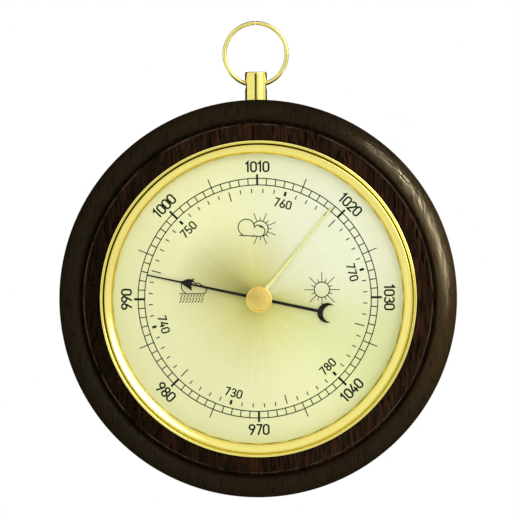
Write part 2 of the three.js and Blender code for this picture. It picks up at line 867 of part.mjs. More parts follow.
// The shaft ends one bracket thickness short of each bracket and has a cone sunk in each end.
function rockerShaft() {
  const left = rockerLeft() + bracketThickness;
  const right = rockerRight() - bracketThickness;
  const coneRadius = rockerRadius * rockerConeShare;
  return turnedAlongX(
    [
      [0, left + rockerCone],
      [coneRadius, left],
      [rockerRadius, left],
      [rockerRadius, right],
      [coneRadius, right],
      [0, right - rockerCone],
    ],
    postSides,
  );
}

// Drawn in the plane across the shaft: x here is the direction back to the wall, y is up.
function contactArm() {
  const half = contactArmThickness / 2;
  const outline = new THREE.Shape();
  outline.moveTo(half, -contactArmLength - capsulePostRadius);
  addCollar(outline, half);
  outline.lineTo(-half, -contactArmLength - capsulePostRadius);
  outline.holes.push(circlePath(rockerRadius + threadClearance, postSides));
  return acrossShaft(outline, contactArmWidth);
}

// The arm drops past the sector's arbor and then runs back as a pin through the sector's tail.
function driveArm() {
  const half = pinWidth / 2;
  const pinEnd = driveArmReach + sectorThickness / 2 + pinReachPastSector;
  const outline = new THREE.Shape();
  outline.moveTo(half, -driveArmDrop + half);
  addCollar(outline, half);
  outline.lineTo(-half, -driveArmDrop - half);
  outline.lineTo(pinEnd, -driveArmDrop - half);
  outline.lineTo(pinEnd, -driveArmDrop + half);
  outline.holes.push(circlePath(rockerRadius + threadClearance, postSides));
  return acrossShaft(outline, pinWidth);
}

// Takes an arm's outline once round the shaft, leaving room below for an arm of a half thickness.
function addCollar(outline, half) {
  const gap = Math.asin(half / armCollarRadius);
  outline.absarc(0, 0, armCollarRadius, gap - Math.PI / 2, 1.5 * Math.PI - gap, false);
}

function bearingBracket() {
  const top = new THREE.Shape();
  const halfWidth = bracketWidth / 2;
  const centre = -rockerDepth;
  top.moveTo(-halfWidth, -basePlateFront);
  top.lineTo(halfWidth, -basePlateFront);
  top.lineTo(halfWidth, centre + bracketShoulderDrop);
  top.absarc(0, centre, bracketHeadWidth / 2, 0, -Math.PI, true);
  top.lineTo(-halfWidth, centre + bracketShoulderDrop);
  top.holes.push(circlePath(rockerRadius + threadClearance, postSides, 0, centre));
  // Drawn with x along Z of the part and y along its Y, then turned to stand across the shaft.
  const leaf = closed(
    new THREE.ExtrudeGeometry(top, { depth: bracketThickness, bevelEnabled: false, curveSegments: 4 }),
  ).applyMatrix4(new THREE.Matrix4().makeBasis(
    new THREE.Vector3(0, 0, -1),
    new THREE.Vector3(0, 1, 0),
    new THREE.Vector3(1, 0, 0),
  ));
  const foot = new THREE.BoxGeometry(bracketFoot, bracketThickness, bracketWidth).translate(
    bracketFoot / 2,
    -basePlateFront - bracketThickness / 2,
    0,
  );
  return join(leaf, foot);
}

function pivotScrew() {
  const head = bracketThickness + screwHeadHeight;
  const point = -bracketThickness - rockerCone / 2;
  return turnedAlongX(
    [
      [0, point],
      [rockerRadius, point + pivotPointShare * rockerRadius],
      [rockerRadius, bracketThickness],
      [smallScrewHeadRadius, bracketThickness],
      [smallScrewHeadRadius, head],
      [0, head],
    ],
    postSides,
  ).translate(0, -rockerDepth, 0);
}

// The toothed sector turns on its own arbor between the plates.
function addSector() {
  const sector = new THREE.Group();
  sector.position.set(sectorX, 0, sectorZ);
  sector.rotation.y = sectorTurnAtRest;
  barometer.add(sector);
  addPiece("sector", sectorPlate(), materials.movementBrass, sector);
  const pivot = handPivotRadius;
  const arbor = turned(
    [
      [0, basePlateBack],
      [pivot, basePlateBack],
      [pivot, basePlateFront + runningClearance],
      [sectorArborRadius, basePlateFront + runningClearance],
      [sectorArborRadius, frontPlateBack - runningClearance],
      [pivot, frontPlateBack - runningClearance],
      [pivot, frontPlateFront],
      [0, frontPlateFront],
    ],
    postSides,
  );
  addPiece("sector_arbor", arbor, materials.steel, sector);
}

// Half the angle that one tooth takes up at a radius, for a 20 degree involute.
function toothHalfAngle(radius, pitchRadius) {
  const pressure = THREE.MathUtils.degToRad(pressureAngle);
  const involute = (angle) => Math.tan(angle) - angle;
  const baseRadius = pitchRadius * Math.cos(pressure);
  const angleHere = Math.acos(Math.min(1, baseRadius / radius));
  const halfAtPitch = (toothModule * Math.PI * toothThicknessShare) / 4 / pitchRadius;
  return halfAtPitch + involute(pressure) - involute(angleHere);
}

// The outline of one tooth, from root to root, centred on an angle.
function toothPoints(pitchRadius, centreAngle) {
  const root = pitchRadius - toothRootShare * toothModule;
  const tip = pitchRadius + toothTipShare * toothModule;
  const baseCircle = pitchRadius * Math.cos(THREE.MathUtils.degToRad(pressureAngle));
  const base = Math.max(root + toothRootGap, baseCircle);
  const radii = [base, (pitchRadius + tip) / 2, tip];
  const flank = radii.map((radius) => [radius, toothHalfAngle(radius, pitchRadius)]);
  flank.unshift([root, flank[0][1]]);
  const points = [];
  for (const [radius, half] of flank) points.push(polar(radius, centreAngle - half));
  for (const [radius, half] of flank.reverse()) points.push(polar(radius, centreAngle + half));
  return points;
}

// Toothed arc towards the hand arbor, two spokes, a hub, and a slotted tail on the other side.
function sectorPlate() {
  const towardsPinion = Math.atan2(-sectorZ, -sectorX);
  const toothPitch = (2 * Math.PI) / sectorFullTeeth;
  const halfArc = (sectorTeethCut / 2) * toothPitch;
  const rimInner = sectorPitchRadius - sectorRimWidth;
  const spokeHalf = sectorSpokeWidth / 2;
  const tailHalf = tailWidth / 2;
  const tailEnd = tailRadius + tailReachPastPin;
  const slotStart = tailRadius - pinSlotLengthInward;
  const slotHalf = pinWidth / 2 + pinSlotClearance;
  const points = [];
  for (let i = 0; i < sectorTeethCut; i += 1) {
    const centreAngle = towardsPinion + (i - (sectorTeethCut - 1) / 2) * toothPitch;
    points.push(...toothPoints(sectorPitchRadius, centreAngle));
  }
  points.push(polar(rimInner, towardsPinion + halfArc));
  const hubSpan = Math.asin(tailHalf / sectorHubRadius);
  const hubSteps = 5;
  const lowStart = towardsPinion + halfArc + sectorSpokeFlare;
  const lowEnd = 2 * Math.PI - hubSpan;
  for (let i = 0; i <= hubSteps; i += 1) {
    points.push(polar(sectorHubRadius, lowStart + ((lowEnd - lowStart) * i) / hubSteps));
  }
  points.push(new THREE.Vector2(tailEnd, -tailHalf), new THREE.Vector2(tailEnd, -slotHalf));
  points.push(new THREE.Vector2(slotStart, -slotHalf), new THREE.Vector2(slotStart, slotHalf));
  points.push(new THREE.Vector2(tailEnd, slotHalf), new THREE.Vector2(tailEnd, tailHalf));
  const highStart = hubSpan;
  const highEnd = towardsPinion - halfArc - sectorSpokeFlare;
  for (let i = 0; i <= hubSteps; i += 1) {
    points.push(polar(sectorHubRadius, highStart + ((highEnd - highStart) * i) / hubSteps));
  }
  points.push(polar(rimInner, towardsPinion - halfArc));
  const outline = new THREE.Shape(points);
  outline.holes.push(circlePath(sectorArborRadius + threadClearance, postSides));
  // The window between the two spokes
  const window = [];
  const outer = rimInner + sectorWindowIntoRim;
  const inner = sectorHubRadius + sectorWindowFromHub;
  const outerHalf = halfArc - spokeHalf / outer - sectorWindowTrim;
  const innerHalf = Math.max(sectorWindowFoot, halfArc - spokeHalf / inner);
  for (let i = -2; i <= 2; i += 1) window.push(polar(outer, towardsPinion + (i / 2) * outerHalf));
  for (const side of [1, -1]) window.push(polar(inner, towardsPinion + side * innerHalf));
  outline.holes.push(new THREE.Path(window));
  return plate(outline, sectorBack, sectorThickness);
}

// Everything that turns with the pressure hand.
function addHand() {
  const hand = new THREE.Group();
  hand.rotation.y = handTurnAtRest;
  barometer.add(hand);
  const handBack = dialFront + handLift;
  const arborEnd = handBack + handThickness + handHubRise + stackGap;
  const springFront = basePlateFront + springLift + springStripHeight;
  const arbor = turned(
    [
      [0, basePlateBack],
      [handPivotRadius, basePlateBack],
      [handPivotRadius, basePlateFront + runningClearance],
      [handArborRadius, basePlateFront + runningClearance],
      [handArborRadius, handBack - threadClearance],
      [handSeatRadius, handBack - threadClearance],
      [handSeatRadius, arborEnd],
      [0, arborEnd],
    ],
    postSides,
  );
  addPiece("hand_arbor", arbor, materials.steel, hand);
  addPiece("pinion", pinion(), materials.movementBrass, hand);
  addPiece("hairspring_collet", hairspringCollet(), materials.movementBrass, hand);
  addPiece("hairspring", hairspring(), materials.springSteel, hand);
  addPiece("pressure_hand", pressureHand(handBack), materials.blackPaint, hand);
  const stud = rod(springStudRadius, basePlateFront, springFront + springStudGap, postSides);
  stud.translate(springStudPlace[0], 0, springStudPlace[1]);
  addPiece("hairspring_stud", stud, materials.movementBrass);
}

function pinion() {
  const towardsSector = Math.atan2(sectorZ, sectorX);
  const toothPitch = (2 * Math.PI) / pinionTeeth;
  const points = [];
  for (let i = 0; i < pinionTeeth; i += 1) {
    points.push(...toothPoints(pinionPitchRadius, towardsSector + (i + 0.5) * toothPitch));
  }
  const outline = new THREE.Shape(points);
  outline.holes.push(circlePath(handArborRadius + threadClearance, postSides));
  return plate(outline, sectorMiddle - pinionThickness / 2, pinionThickness);
}

function hairspringCollet() {
  const bore = handArborRadius + threadClearance;
  const outer = springInnerRadius - springStripWidth / 2 - springStudGap;
  const back = basePlateFront + springLift - screwHeadChamfer;
  const front = back + springStripHeight + 2 * screwHeadChamfer;
  return turned([[bore, back], [outer, back], [outer, front], [bore, front]], postSides);
}

// A flat spiral strip that ends beside its stud.
function hairspring() {
  const stepsPerTurn = 14;
  const steps = springTurns * stepsPerTurn;
  const endAngle = Math.PI / 2 - THREE.MathUtils.degToRad(springStudAngle) + handTurnAtRest;
  const outer = [];
  const inner = [];
  for (let i = 0; i <= steps; i += 1) {
    const angle = endAngle - (2 * Math.PI * (steps - i)) / stepsPerTurn;
    const radius = springInnerRadius + (springPitch * i) / stepsPerTurn;
    outer.push(polar(radius + springStripWidth / 2, angle));
    inner.unshift(polar(radius - springStripWidth / 2, angle));
  }
  return plate(new THREE.Shape([...outer, ...inner]), basePlateFront + springLift, springStripHeight);
}

// A stem, an arrow head and a needle one way; a bar with a crescent the other way.
function pressureHand(back) {
  const barb = handBarbShare * handLength;
  const arrowEnd = handArrowEndShare * handLength;
  const crescentCentre = crescentShare * handLength;
  const front = mirroredOutline([
    [handStemWidth, 0],
    [handNeedleWidth, handNotchShare * handLength],
    [handBarbWidth, barb],
    [(handBarbWidth + handNeedleWidth) / 2, barb + (arrowEnd - barb) * handArrowWaistShare],
    [handNeedleWidth, arrowEnd],
    [handPointWidth, handLength],
  ]);
  const tail = mirroredOutline([[handTailWidth, 0], [handTailWidth, -handTailShare * handLength]]);
  const crescentBlank = new THREE.Shape(circlePoints(crescentRadius, crescentSides, 0, -crescentCentre));
  const hubFront = back + handThickness + handHubRise;
  const toolBack = back - overshoot;
  const toolFront = hubFront + overshoot;
  const crescentCut = rod(crescentCutRadius, toolBack, toolFront, crescentSides);
  crescentCut.translate(0, 0, -crescentCentre - crescentCutOffset);
  const crescent = cut(plate(crescentBlank, back, handThickness), crescentCut);
  const hub = rod(handHubRadius, back, hubFront, hubSides);
  const bore = rod(handSeatRadius + threadClearance, toolBack, toolFront, postSides);
  const blades = [front, tail].map((shape) => plate(shape, back, handThickness));
  return cut(join(hub, crescent, ...blades), bore).rotateY(middleHandAngle);
}

// The set hand hangs under the glass on a spindle, which the knob in front of the glass turns.
function addSetHand() {
  const set = new THREE.Group();
  set.rotation.y = THREE.MathUtils.degToRad(setHandAngle);
  barometer.add(set);
  const washerFront = glassBack - stackGap;
  const washerBack = washerFront - washerThickness;
  const handFront = washerBack - stackGap;
  const handBack = handFront - setHandThickness;
  const knobBack = glassFront + knobGap;
  const bore = setSpindleRadius + threadClearance;
  const flangeRadius = setSpindleRadius + setSpindleFlange;
  const flangeBack = handBack - washerThickness;
  const spindleEnd = knobBack + knobBoreDepth - knobGap;
  const spindle = turned(
    [
      [0, flangeBack],
      [flangeRadius, flangeBack],
      [flangeRadius, handBack],
      [setSpindleRadius, handBack],
      [setSpindleRadius, spindleEnd],
      [0, spindleEnd],
    ],
    postSides,
  );
  const washer = [
    [bore, washerBack],
    [washerRadius, washerBack],
    [washerRadius, washerFront],
    [bore, washerFront],
  ];
  addPiece("set_spindle", spindle, materials.satinBrass, set);
  addPiece("set_hand", setHand(handBack, bore), materials.satinBrass, set);
  addPiece("friction_washer", turned(washer, postSides), materials.steel, set);
  addPiece("set_knob", setKnob(knobBack, bore), materials.satinBrass, set);
}

function setHand(back, bore) {
  const blade = mirroredOutline([
    [setHandRootWidth, 0],
    [setHandNeckWidth, setHandNeckShare * handLength],
    [setHandPointWidth, setHandLength],
  ]);
  const hub = new THREE.Shape(circlePoints(setHandHubRadius, crescentSides));
  const hole = rod(bore, back - overshoot, back + setHandThickness + overshoot, postSides);
  return cut(join(plate(hub, back, setHandThickness), plate(blade, back, setHandThickness)), hole);
}

// A neck that flares into a plain drum with a raised rim and a slightly domed end.
function setKnob(back, bore) {
  const front = back + knobHeight;
  const rimInner = knobRadius - knobRimWidth;
  return turned(
    [
      [0, back + knobBoreDepth],
      [bore, back + knobBoreDepth],
      [bore, back],
      [knobNeckRadius, back],
      [knobNeckRadius + knobNeckFlare, back + knobNeckLength],
      [knobRadius - knobShoulderDrop, back + knobFlareLength - knobRimWidth],
      [knobRadius, back + knobFlareLength],
      [knobRadius, front - knobEndRounding],
      [knobRadius - knobRimWidth / 2, front],
      [rimInner, front - knobRimRise],
      [rimInner / 2, front - knobRimRise / 3],
      [0, front],
    ],
    discSides,
  );
}

// Shapes

// The place at a radius and an angle clockwise from the top of the dial.
function placeOnDial(radius, angle) {
  const turn = THREE.MathUtils.degToRad(angle);
  return [radius * Math.sin(turn), radius * Math.cos(turn)];
}

function polar(radius, angle) {
  return new THREE.Vector2(radius * Math.cos(angle), radius * Math.sin(angle));
}

function circlePoints(radius, sides, x = 0, y = 0) {
  const points = [];
  for (let i = 0; i < sides; i += 1) {
    const angle = (2 * Math.PI * i) / sides;
    points.push(new THREE.Vector2(x - radius * Math.sin(angle), y + radius * Math.cos(angle)));
  }
  return points;
}

function circlePath(radius, sides, x = 0, y = 0) {
  return new THREE.Path(circlePoints(radius, sides, x, y));
}

// A closed outline that is the same on both sides, from [width, distance along].
function mirroredOutline(points) {
  const side = (sign) => points.map(([width, along]) => new THREE.Vector2((sign * width) / 2, along));
  return new THREE.Shape([...side(1), ...side(-1).reverse()]);
}

function roundedBar(width, from, to, corner) {
  const half = width / 2;
  const bar = new THREE.Shape();
  bar.moveTo(-half + corner, from);
  bar.lineTo(half - corner, from);
  bar.quadraticCurveTo(half, from, half, from + corner);
  bar.lineTo(half, to - corner);
  bar.quadraticCurveTo(half, to, half - corner, to);
  bar.lineTo(-half + corner, to);
  bar.quadraticCurveTo(-half, to, -half, to - corner);
  bar.lineTo(-half, from + corner);
  bar.quadraticCurveTo(-half, from, -half + corner, from);
  return bar;
}

// The outline that runs round three places at a margin, with round corners.
function roundedTriangle(places, margin) {
  const points = [];
  const cornerSteps = 5;
  places.forEach(([x, z], i) => {
    const [beforeX, beforeZ] = places[(i + 2) % 3];
    const [afterX, afterZ] = places[(i + 1) % 3];
    const from = Math.atan2(z - beforeZ, x - beforeX) + Math.PI / 2;
    let to = Math.atan2(afterZ - z, afterX - x) + Math.PI / 2;
    if (to > from) to -= 2 * Math.PI;
    for (let step = 0; step <= cornerSteps; step += 1) {
      const angle = from + ((to - from) * step) / cornerSteps;
      points.push(new THREE.Vector2(x + margin * Math.cos(angle), z + margin * Math.sin(angle)));
    }
  });
  return new THREE.Shape(points);
}

// A flat disc with a hole, between two depths.
function disc(holeRadius, radius, back, front) {
  const sides = innerRingSides;
  const outline = new THREE.Shape(circlePoints(radius, sides));
  outline.holes.push(circlePath(holeRadius, postSides));
  return plate(outline, back, front - back);
}

// A plate parallel to the dial: the outline's x and y become the part's x and z.
function plate(outline, back, thickness) {
  const geometry = new THREE.ExtrudeGeometry(outline, {
    depth: thickness,
    bevelEnabled: false,
    curveSegments: 4,
  });
  return closed(geometry.rotateX(Math.PI / 2).translate(0, -back, 0));
}

// An outline drawn across the rocking shaft, centred on its own middle along the shaft.
function acrossShaft(outline, length) {
  const geometry = new THREE.ExtrudeGeometry(outline, {
    depth: length,
    bevelEnabled: false,
    curveSegments: 5,
  });
  const axes = new THREE.Matrix4().makeBasis(
    new THREE.Vector3(0, 1, 0),
    new THREE.Vector3(0, 0, 1),
    new THREE.Vector3(1, 0, 0),
  );
  return closed(geometry.translate(0, 0, -length / 2).applyMatrix4(axes));
}

// A turned piece about the dial's axis, from a section of [radius, depth] points.
function turned(section, sides) {
  return revolve(section.map(([radius, depth]) => [radius, -depth]), sides);
}

// A plain rod about the dial's axis, between two depths.
function rod(radius, back, front, sides) {
  return turned([[0, back], [radius, back], [radius, front], [0, front]], sides);
}

function turnedAlongX(section, sides) {
  return revolve(section, sides).rotateZ(-Math.PI / 2);
}

function turnedAlongZ(section, sides) {
  return revolve(section, sides).rotateX(Math.PI / 2);
}

// A turned piece about Y, from a section of [radius, along] points that starts and ends on the axis
// or is closed here.
function revolve(section, sides) {
  const points = section.map(([radius, along]) => new THREE.Vector2(radius, along));
  const onAxis = section[0][0] === 0 && section[section.length - 1][0] === 0;
  if (!onAxis) points.push(points[0].clone());
  return closed(new THREE.LatheGeometry(points, sides));
}

// Merges the shared vertices, drops triangles that have shrunk to a line, and turns the faces out.
function closed(geometry) {
  const bare = geometry.clone();
  bare.deleteAttribute("normal");
  bare.deleteAttribute("uv");
  const merged = mergeVertices(bare, 1e-5);
  const index = merged.index.array;
  const kept = [];
  for (let i = 0; i < index.length; i += 3) {
    const [a, b, c] = [index[i], index[i + 1], index[i + 2]];
    if (a !== b && b !== c && c !== a) kept.push([a, b, c]);
  }
  merged.setIndex(kept.flat());
  if (volumeOf(merged) < 0) merged.setIndex(kept.map(([a, b, c]) => [a, c, b]).flat());
  return merged;
}

function volumeOf(geometry) {
  const position = geometry.getAttribute("position");
  const [a, b, c] = [new THREE.Vector3(), new THREE.Vector3(), new THREE.Vector3()];
  let volume = 0;
  for (let i = 0; i < geometry.index.count; i += 3) {
    a.fromBufferAttribute(position, geometry.index.getX(i));
    b.fromBufferAttribute(position, geometry.index.getX(i + 1));
    c.fromBufferAttribute(position, geometry.index.getX(i + 2));
    volume += a.dot(b.cross(c)) / 6;
  }
  return volume;
}

function toSolid(geometry) {
  return new wasm.Manifold(
    new wasm.Mesh({
      numProp: 3,
      vertProperties: Float32Array.from(geometry.getAttribute("position").array),
      triVerts: Uint32Array.from(geometry.index.array),
    }),
  );
}

function toGeometry(solid) {
  const mesh = solid.getMesh();
  const geometry = new THREE.BufferGeometry();
  geometry.setAttribute("position", new THREE.BufferAttribute(mesh.vertProperties, 3));
  geometry.setIndex(new THREE.BufferAttribute(mesh.triVerts, 1));
  return geometry;
}

function cut(geometry, ...tools) {
  let solid = toSolid(closed(geometry));
  for (const tool of tools) solid = solid.subtract(toSolid(closed(tool)));
  return toGeometry(solid);
}

function join(...geometries) {
  let solid = toSolid(closed(geometries[0]));
  for (const other of geometries.slice(1)) solid = solid.add(toSolid(closed(other)));
  return toGeometry(solid);
}

function finish(color, roughness, metalness) {
  return new THREE.MeshStandardMaterial({ color, roughness, metalness });
}

function addPiece(name, geometry, material, parent = barometer) {
  const mesh = new THREE.Mesh(toCreasedNormals(geometry, 0.5), material);
  mesh.name = name;
  parent.add(mesh);
  return mesh;
}
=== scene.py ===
"""Looks of a round aneroid wall barometer: dark turned wood, brass, a spun dial and its printing.

Laid out as an add-on. Every size is in metres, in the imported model's frame: the dial's axis is the
Y axis, the dial faces -Y, and depth is counted forward from the wall, so y = -depth. Angles on the
dial are clockwise from the top, as it is read.
"""

import math

import bmesh
import bpy
from mathutils import Matrix, Quaternion, Vector


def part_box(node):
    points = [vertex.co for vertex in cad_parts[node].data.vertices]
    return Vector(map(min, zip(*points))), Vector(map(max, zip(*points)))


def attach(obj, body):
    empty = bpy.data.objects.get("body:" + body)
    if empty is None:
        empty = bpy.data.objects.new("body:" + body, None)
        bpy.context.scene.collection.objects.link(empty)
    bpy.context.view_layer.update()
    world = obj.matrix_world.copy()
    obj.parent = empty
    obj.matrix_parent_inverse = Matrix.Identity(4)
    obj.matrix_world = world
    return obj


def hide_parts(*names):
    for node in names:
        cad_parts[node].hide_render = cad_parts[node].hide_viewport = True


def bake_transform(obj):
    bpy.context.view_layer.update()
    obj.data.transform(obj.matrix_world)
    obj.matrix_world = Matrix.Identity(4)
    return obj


bl_info = {
    "name": "Aneroid barometer looks",
    "version": (1, 0, 0),
    "blender": (4, 5, 0),
    "location": "3D View > Sidebar > Barometer",
    "description": "Dresses the packed barometer with its wood, brass, dial and printing",
    "category": "Object",
}

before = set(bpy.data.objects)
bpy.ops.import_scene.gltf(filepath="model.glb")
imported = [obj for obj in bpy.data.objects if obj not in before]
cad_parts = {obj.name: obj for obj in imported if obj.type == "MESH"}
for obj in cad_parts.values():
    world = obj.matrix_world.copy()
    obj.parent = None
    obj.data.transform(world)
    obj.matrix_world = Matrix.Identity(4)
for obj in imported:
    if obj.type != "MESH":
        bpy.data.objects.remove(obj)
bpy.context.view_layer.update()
MM = 0.001
CREASE = 35
TINY = 1e-7
RIM_SIDES = 288
PLATE_SIDES = 256
KNOB_SIDES = 128
STUD_SIDES = 96
BORE_SIDES = 64
SCREW_SIDES = 48


def cad_depths(node):
    """The depths of a node's back and front, counted forward from the wall."""
    low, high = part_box(node)
    return -high.y, -low.y


def cad_radius(node):
    """Half of a round node's reach across."""
    low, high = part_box(node)
    return (high.x - low.x) / 2


def numbered(name, count=3):
    """The names of a node that the model has several of."""
    return [f"{name}_{i + 1}" for i in range(count)]


DIAL_BACK, DIAL_FRONT = cad_depths("dial")
GLASS_BACK, GLASS_FRONT = cad_depths("glass")
FLAT_DEPTH = cad_depths("movement_case")[1]
STUD_LOW, STUD_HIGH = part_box("hanger_stud")
STUD_DEPTH = -(STUD_LOW.y + STUD_HIGH.y) / 2
RING_LOW, RING_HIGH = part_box("hanging_ring")


def length(name, description, default):
    """A size in metres that a user may change."""
    return bpy.props.FloatProperty(
        name=name, description=description, default=default, unit="LENGTH", precision=5
    )


def turn(name, description, degrees):
    return bpy.props.FloatProperty(
        name=name, description=description, default=math.radians(degrees), subtype="ANGLE"
    )


def tint(name, description, default):
    return bpy.props.FloatVectorProperty(
        name=name, description=description, default=default, subtype="COLOR", size=3, min=0, max=1
    )


def share(name, description, default):
    return bpy.props.FloatProperty(name=name, description=description, default=default, min=0)


class FrameSizes(bpy.types.PropertyGroup):
    """The turned wood frame and the hanger on it."""

    radius: length("Radius", "Outer radius of the frame", cad_radius("wood_frame"))
    moulding: length("Moulding", "Width of the half round at the rim", 7.25 * MM)
    rise: length("Rise", "How far the half round stands above its foot", 3.2 * MM)
    quirk: length("Quirk", "Width of the V cut inside the half round", 0.75 * MM)
    quirk_cut: length("Quirk depth", "Depth of the V cut", 0.7 * MM)
    bore: length("Bore", "Radius of the hole for the case", 50.1 * MM)
    recess: length("Recess", "Radius of the recess behind", 55.5 * MM)
    recess_cut: length("Recess depth", "Depth of the recess behind", 2.5 * MM)
    rounding: length("Back rounding", "Radius of the back edge", 1.6 * MM)
    seat: length("Seat height", "Height of the small flat that the stud stands on", 65.75 * MM)
    wood: tint("Wood", "The stained wood between its grain lines", (0.0145, 0.0105, 0.0062))
    grain: tint("Grain", "The redder lines of the grain", (0.055, 0.0210, 0.0100))


class BrassSizes(bpy.types.PropertyGroup):
    """The bezel, the hanger and the knob."""

    bezel: length("Bezel", "Outer radius of the bezel", cad_radius("bezel"))
    lip: length("Lip", "Inner radius of the bezel", 48.1 * MM)
    groove: length("Groove", "Radius of the fine groove in the bezel", 51.2 * MM)
    stud: length("Stud", "Radius of the stud that holds the ring", 3.65 * MM)
    stud_hole: length("Stud hole", "Radius of the hole that the ring hangs in", 1.55 * MM)
    wire: length("Wire", "Radius of the ring's wire", 0.69 * MM)
    knob: length("Knob", "Radius of the set knob", cad_radius("set_knob") - 0.3 * MM)
    polished: tint("Polished brass", "Colour of the bezel, stud and ring", (0.96, 0.85, 0.24))
    satin: tint("Satin brass", "Colour of the knob", (0.96, 0.80, 0.24))


class DialSizes(bpy.types.PropertyGroup):
    """The dial, its printing and the hands over it."""

    radius: length("Radius", "Outer radius of the dial", cad_radius("dial"))
    track_inner: length("Track inside", "Inner circle of the main scale", 37.66 * MM)
    track_outer: length("Track outside", "Outer circle of the main scale", 39.86 * MM)
    line: length("Line", "Width of a fine printed line", 0.34 * MM)
    ink_height: length("Ink", "How thick the printing stands on the dial", 0.02 * MM)
    degrees_per_unit: share("Degrees per hectopascal", "Turn of the hand for one hectopascal", 4.5)
    top_reading: share("Top reading", "What the main scale shows at the top", 1010)
    reading: share("Reading", "What the pressure hand shows at rest", 992.74)
    set_angle: turn("Set hand", "Where the set hand stands", 39.4)
    plate: tint("Plate", "The dial's metal", (0.87, 0.855, 0.47))
    ink: tint("Ink", "The printing", (0.010, 0.016, 0.009))


class StageSizes(bpy.types.PropertyGroup):
    """The camera, the lights and the floor."""

    azimuth: turn("Azimuth", "How far round the camera stands, seen from above", -1.2)
    elevation: turn("Elevation", "How far above the axis the camera stands", 1.4)
    roll: turn("Roll", "How far the camera leans", -0.46)
    distance: length("Distance", "From the camera to the point that it looks at", 1.25)
    view_width: length("View width", "Width of the view at the object", 0.1711)
    front_power: share("Front light", "Power of the broad light in front", 10.3)
    key_power: share("Key light", "Power of the light that the brass mirrors", 7.5)
    wood_power: share("Wood light", "Power of the light on the wood's upper right", 0.38)
    sky: share("Sky", "Strength of the plain light all round", 0.5)
    floor: tint("Floor", "Colour of the floor", (0.86, 0.86, 0.86))


SETTINGS = {
    "barometer_frame": FrameSizes,
    "barometer_brass": BrassSizes,
    "barometer_dial": DialSizes,
    "barometer_stage": StageSizes,
}


def settings(name):
    return getattr(bpy.context.scene, f"barometer_{name}")


# Meshes


def on_dial(radius, angle, depth):
    """The point at a radius and an angle in radians clockwise from the top, at a depth."""
    return Vector((radius * math.sin(angle), -depth, radius * math.cos(angle)))


def new_piece(name, data):
    """A new object in the scene from a mesh, a lamp or a camera."""
    piece = bpy.data.objects.new(name, data)
    bpy.context.scene.collection.objects.link(piece)
    return piece


def plain_mesh(name, build):
    """A mesh that build(bm) fills."""
    bm = bmesh.new()
    build(bm)
    mesh = bpy.data.meshes.new(name)
    bm.to_mesh(mesh)
    bm.free()
    return mesh


def smooth(mesh, crease=CREASE):
    mesh.shade_smooth()
    mesh.set_sharp_from_angle(angle=math.radians(crease))


def mesh_from(name, build, crease=CREASE):
    """A mesh that build(bm) fills, with its faces out and its edges past the crease kept sharp."""

    def closed(bm):
        build(bm)
        bmesh.ops.remove_doubles(bm, verts=bm.verts, dist=TINY)
        bmesh.ops.recalc_face_normals(bm, faces=bm.faces)

    mesh = plain_mesh(name, closed)
    smooth(mesh, crease)
    return mesh


def piece_from(name, build, crease=CREASE):
    return new_piece(name, mesh_from(name, build, crease))


def skin(bm, rows, caps=False):
    """Faces between rows of points, each row closed on itself. A row of one point is a tip."""
    sides = max(len(row) for row in rows)
    for a, b in zip(rows, rows[1:]):
        for i in range(sides):
            j = (i + 1) % sides
            corners = [a[i % len(a)], a[j % len(a)], b[j % len(b)], b[i % len(b)]]
            face = list(dict.fromkeys(corners))
            if len(face) > 2:
                bm.faces.new(face)
    if caps:
        bm.faces.new(rows[0])
        bm.faces.new(rows[-1])


def bevelled(back, front, edge):
    """The depths of a flat piece's rows of points, and how far each is drawn in."""
    return (back, edge), (back + edge, 0), (front - edge, 0), (front, edge)


def add_turned(bm, section, sides, place=on_dial):
    """A solid turned from a section of (radius, depth) that closes on itself or starts and ends on
    the axis. place(radius, angle, depth) gives a point; by default the dial's axis is the axis."""
    rows = []
    for radius, depth in section:
        count = sides if radius > TINY else 1
        angles = (2 * math.pi * i / sides for i in range(count))
        rows.append([bm.verts.new(place(radius, angle, depth)) for angle in angles])
    skin(bm, rows if len(rows[0]) == 1 else rows + rows[:1])


def turned(name, section, sides, crease=CREASE):
    return piece_from(name, lambda bm: add_turned(bm, section, sides), crease)


def rounded(section, radius, steps=4, closed=True):
    """The section with each of its corners rounded. A point just past each end of a rounding keeps
    the flat beside it shaded flat."""
    points = []
    n = len(section)
    most, straight = 0.45, 0.995
    for i, here in enumerate(section):
        if not closed and i in (0, n - 1):
            points.append(here)
            continue
        p, a, b = Vector(here), Vector(section[i - 1]), Vector(section[(i + 1) % n])
        to_a, to_b = a - p, b - p
        reach = min(radius, to_a.length * most, to_b.length * most)
        if reach < TINY or abs(to_a.normalized().dot(to_b.normalized())) > straight:
            points.append(here)
            continue
        start, end = p + to_a.normalized() * reach, p + to_b.normalized() * reach
        curve = [start * (1 - t) ** 2 + p * 2 * t * (1 - t) + end * t * t
                 for t in (k / steps for k in range(steps + 1))]
        if to_a.length > reach * 4:
            curve.insert(0, start + to_a.normalized() * reach * 0.5)
        if to_b.length > reach * 4:
            curve.append(end + to_b.normalized() * reach * 0.5)
        points += [(q.x, q.y) for q in curve]
    return points


def washer(bore, radius, back, front, rounding, steps=3):
    """The section of a flat round plate with a hole, its corners rounded."""
    corners = [(bore, back), (radius, back), (radius, front), (bore, front)]
    return rounded(corners, rounding, steps)


def arc(x, y, rx, ry, start, end, steps=14):
    """Points on an ellipse from one angle to another, in degrees counted up from the right."""
    angles = [math.radians(start + (end - start) * i / steps) for i in range(steps + 1)]
    return [(x + rx * math.cos(a), y + ry * math.sin(a)) for a in angles]


def clockwise(x, z, radius, start, end, steps=24):
    """Points on a circle between two angles clockwise from the top."""
    return arc(x, z, radius, radius, 90 - start, 90 - end, steps)


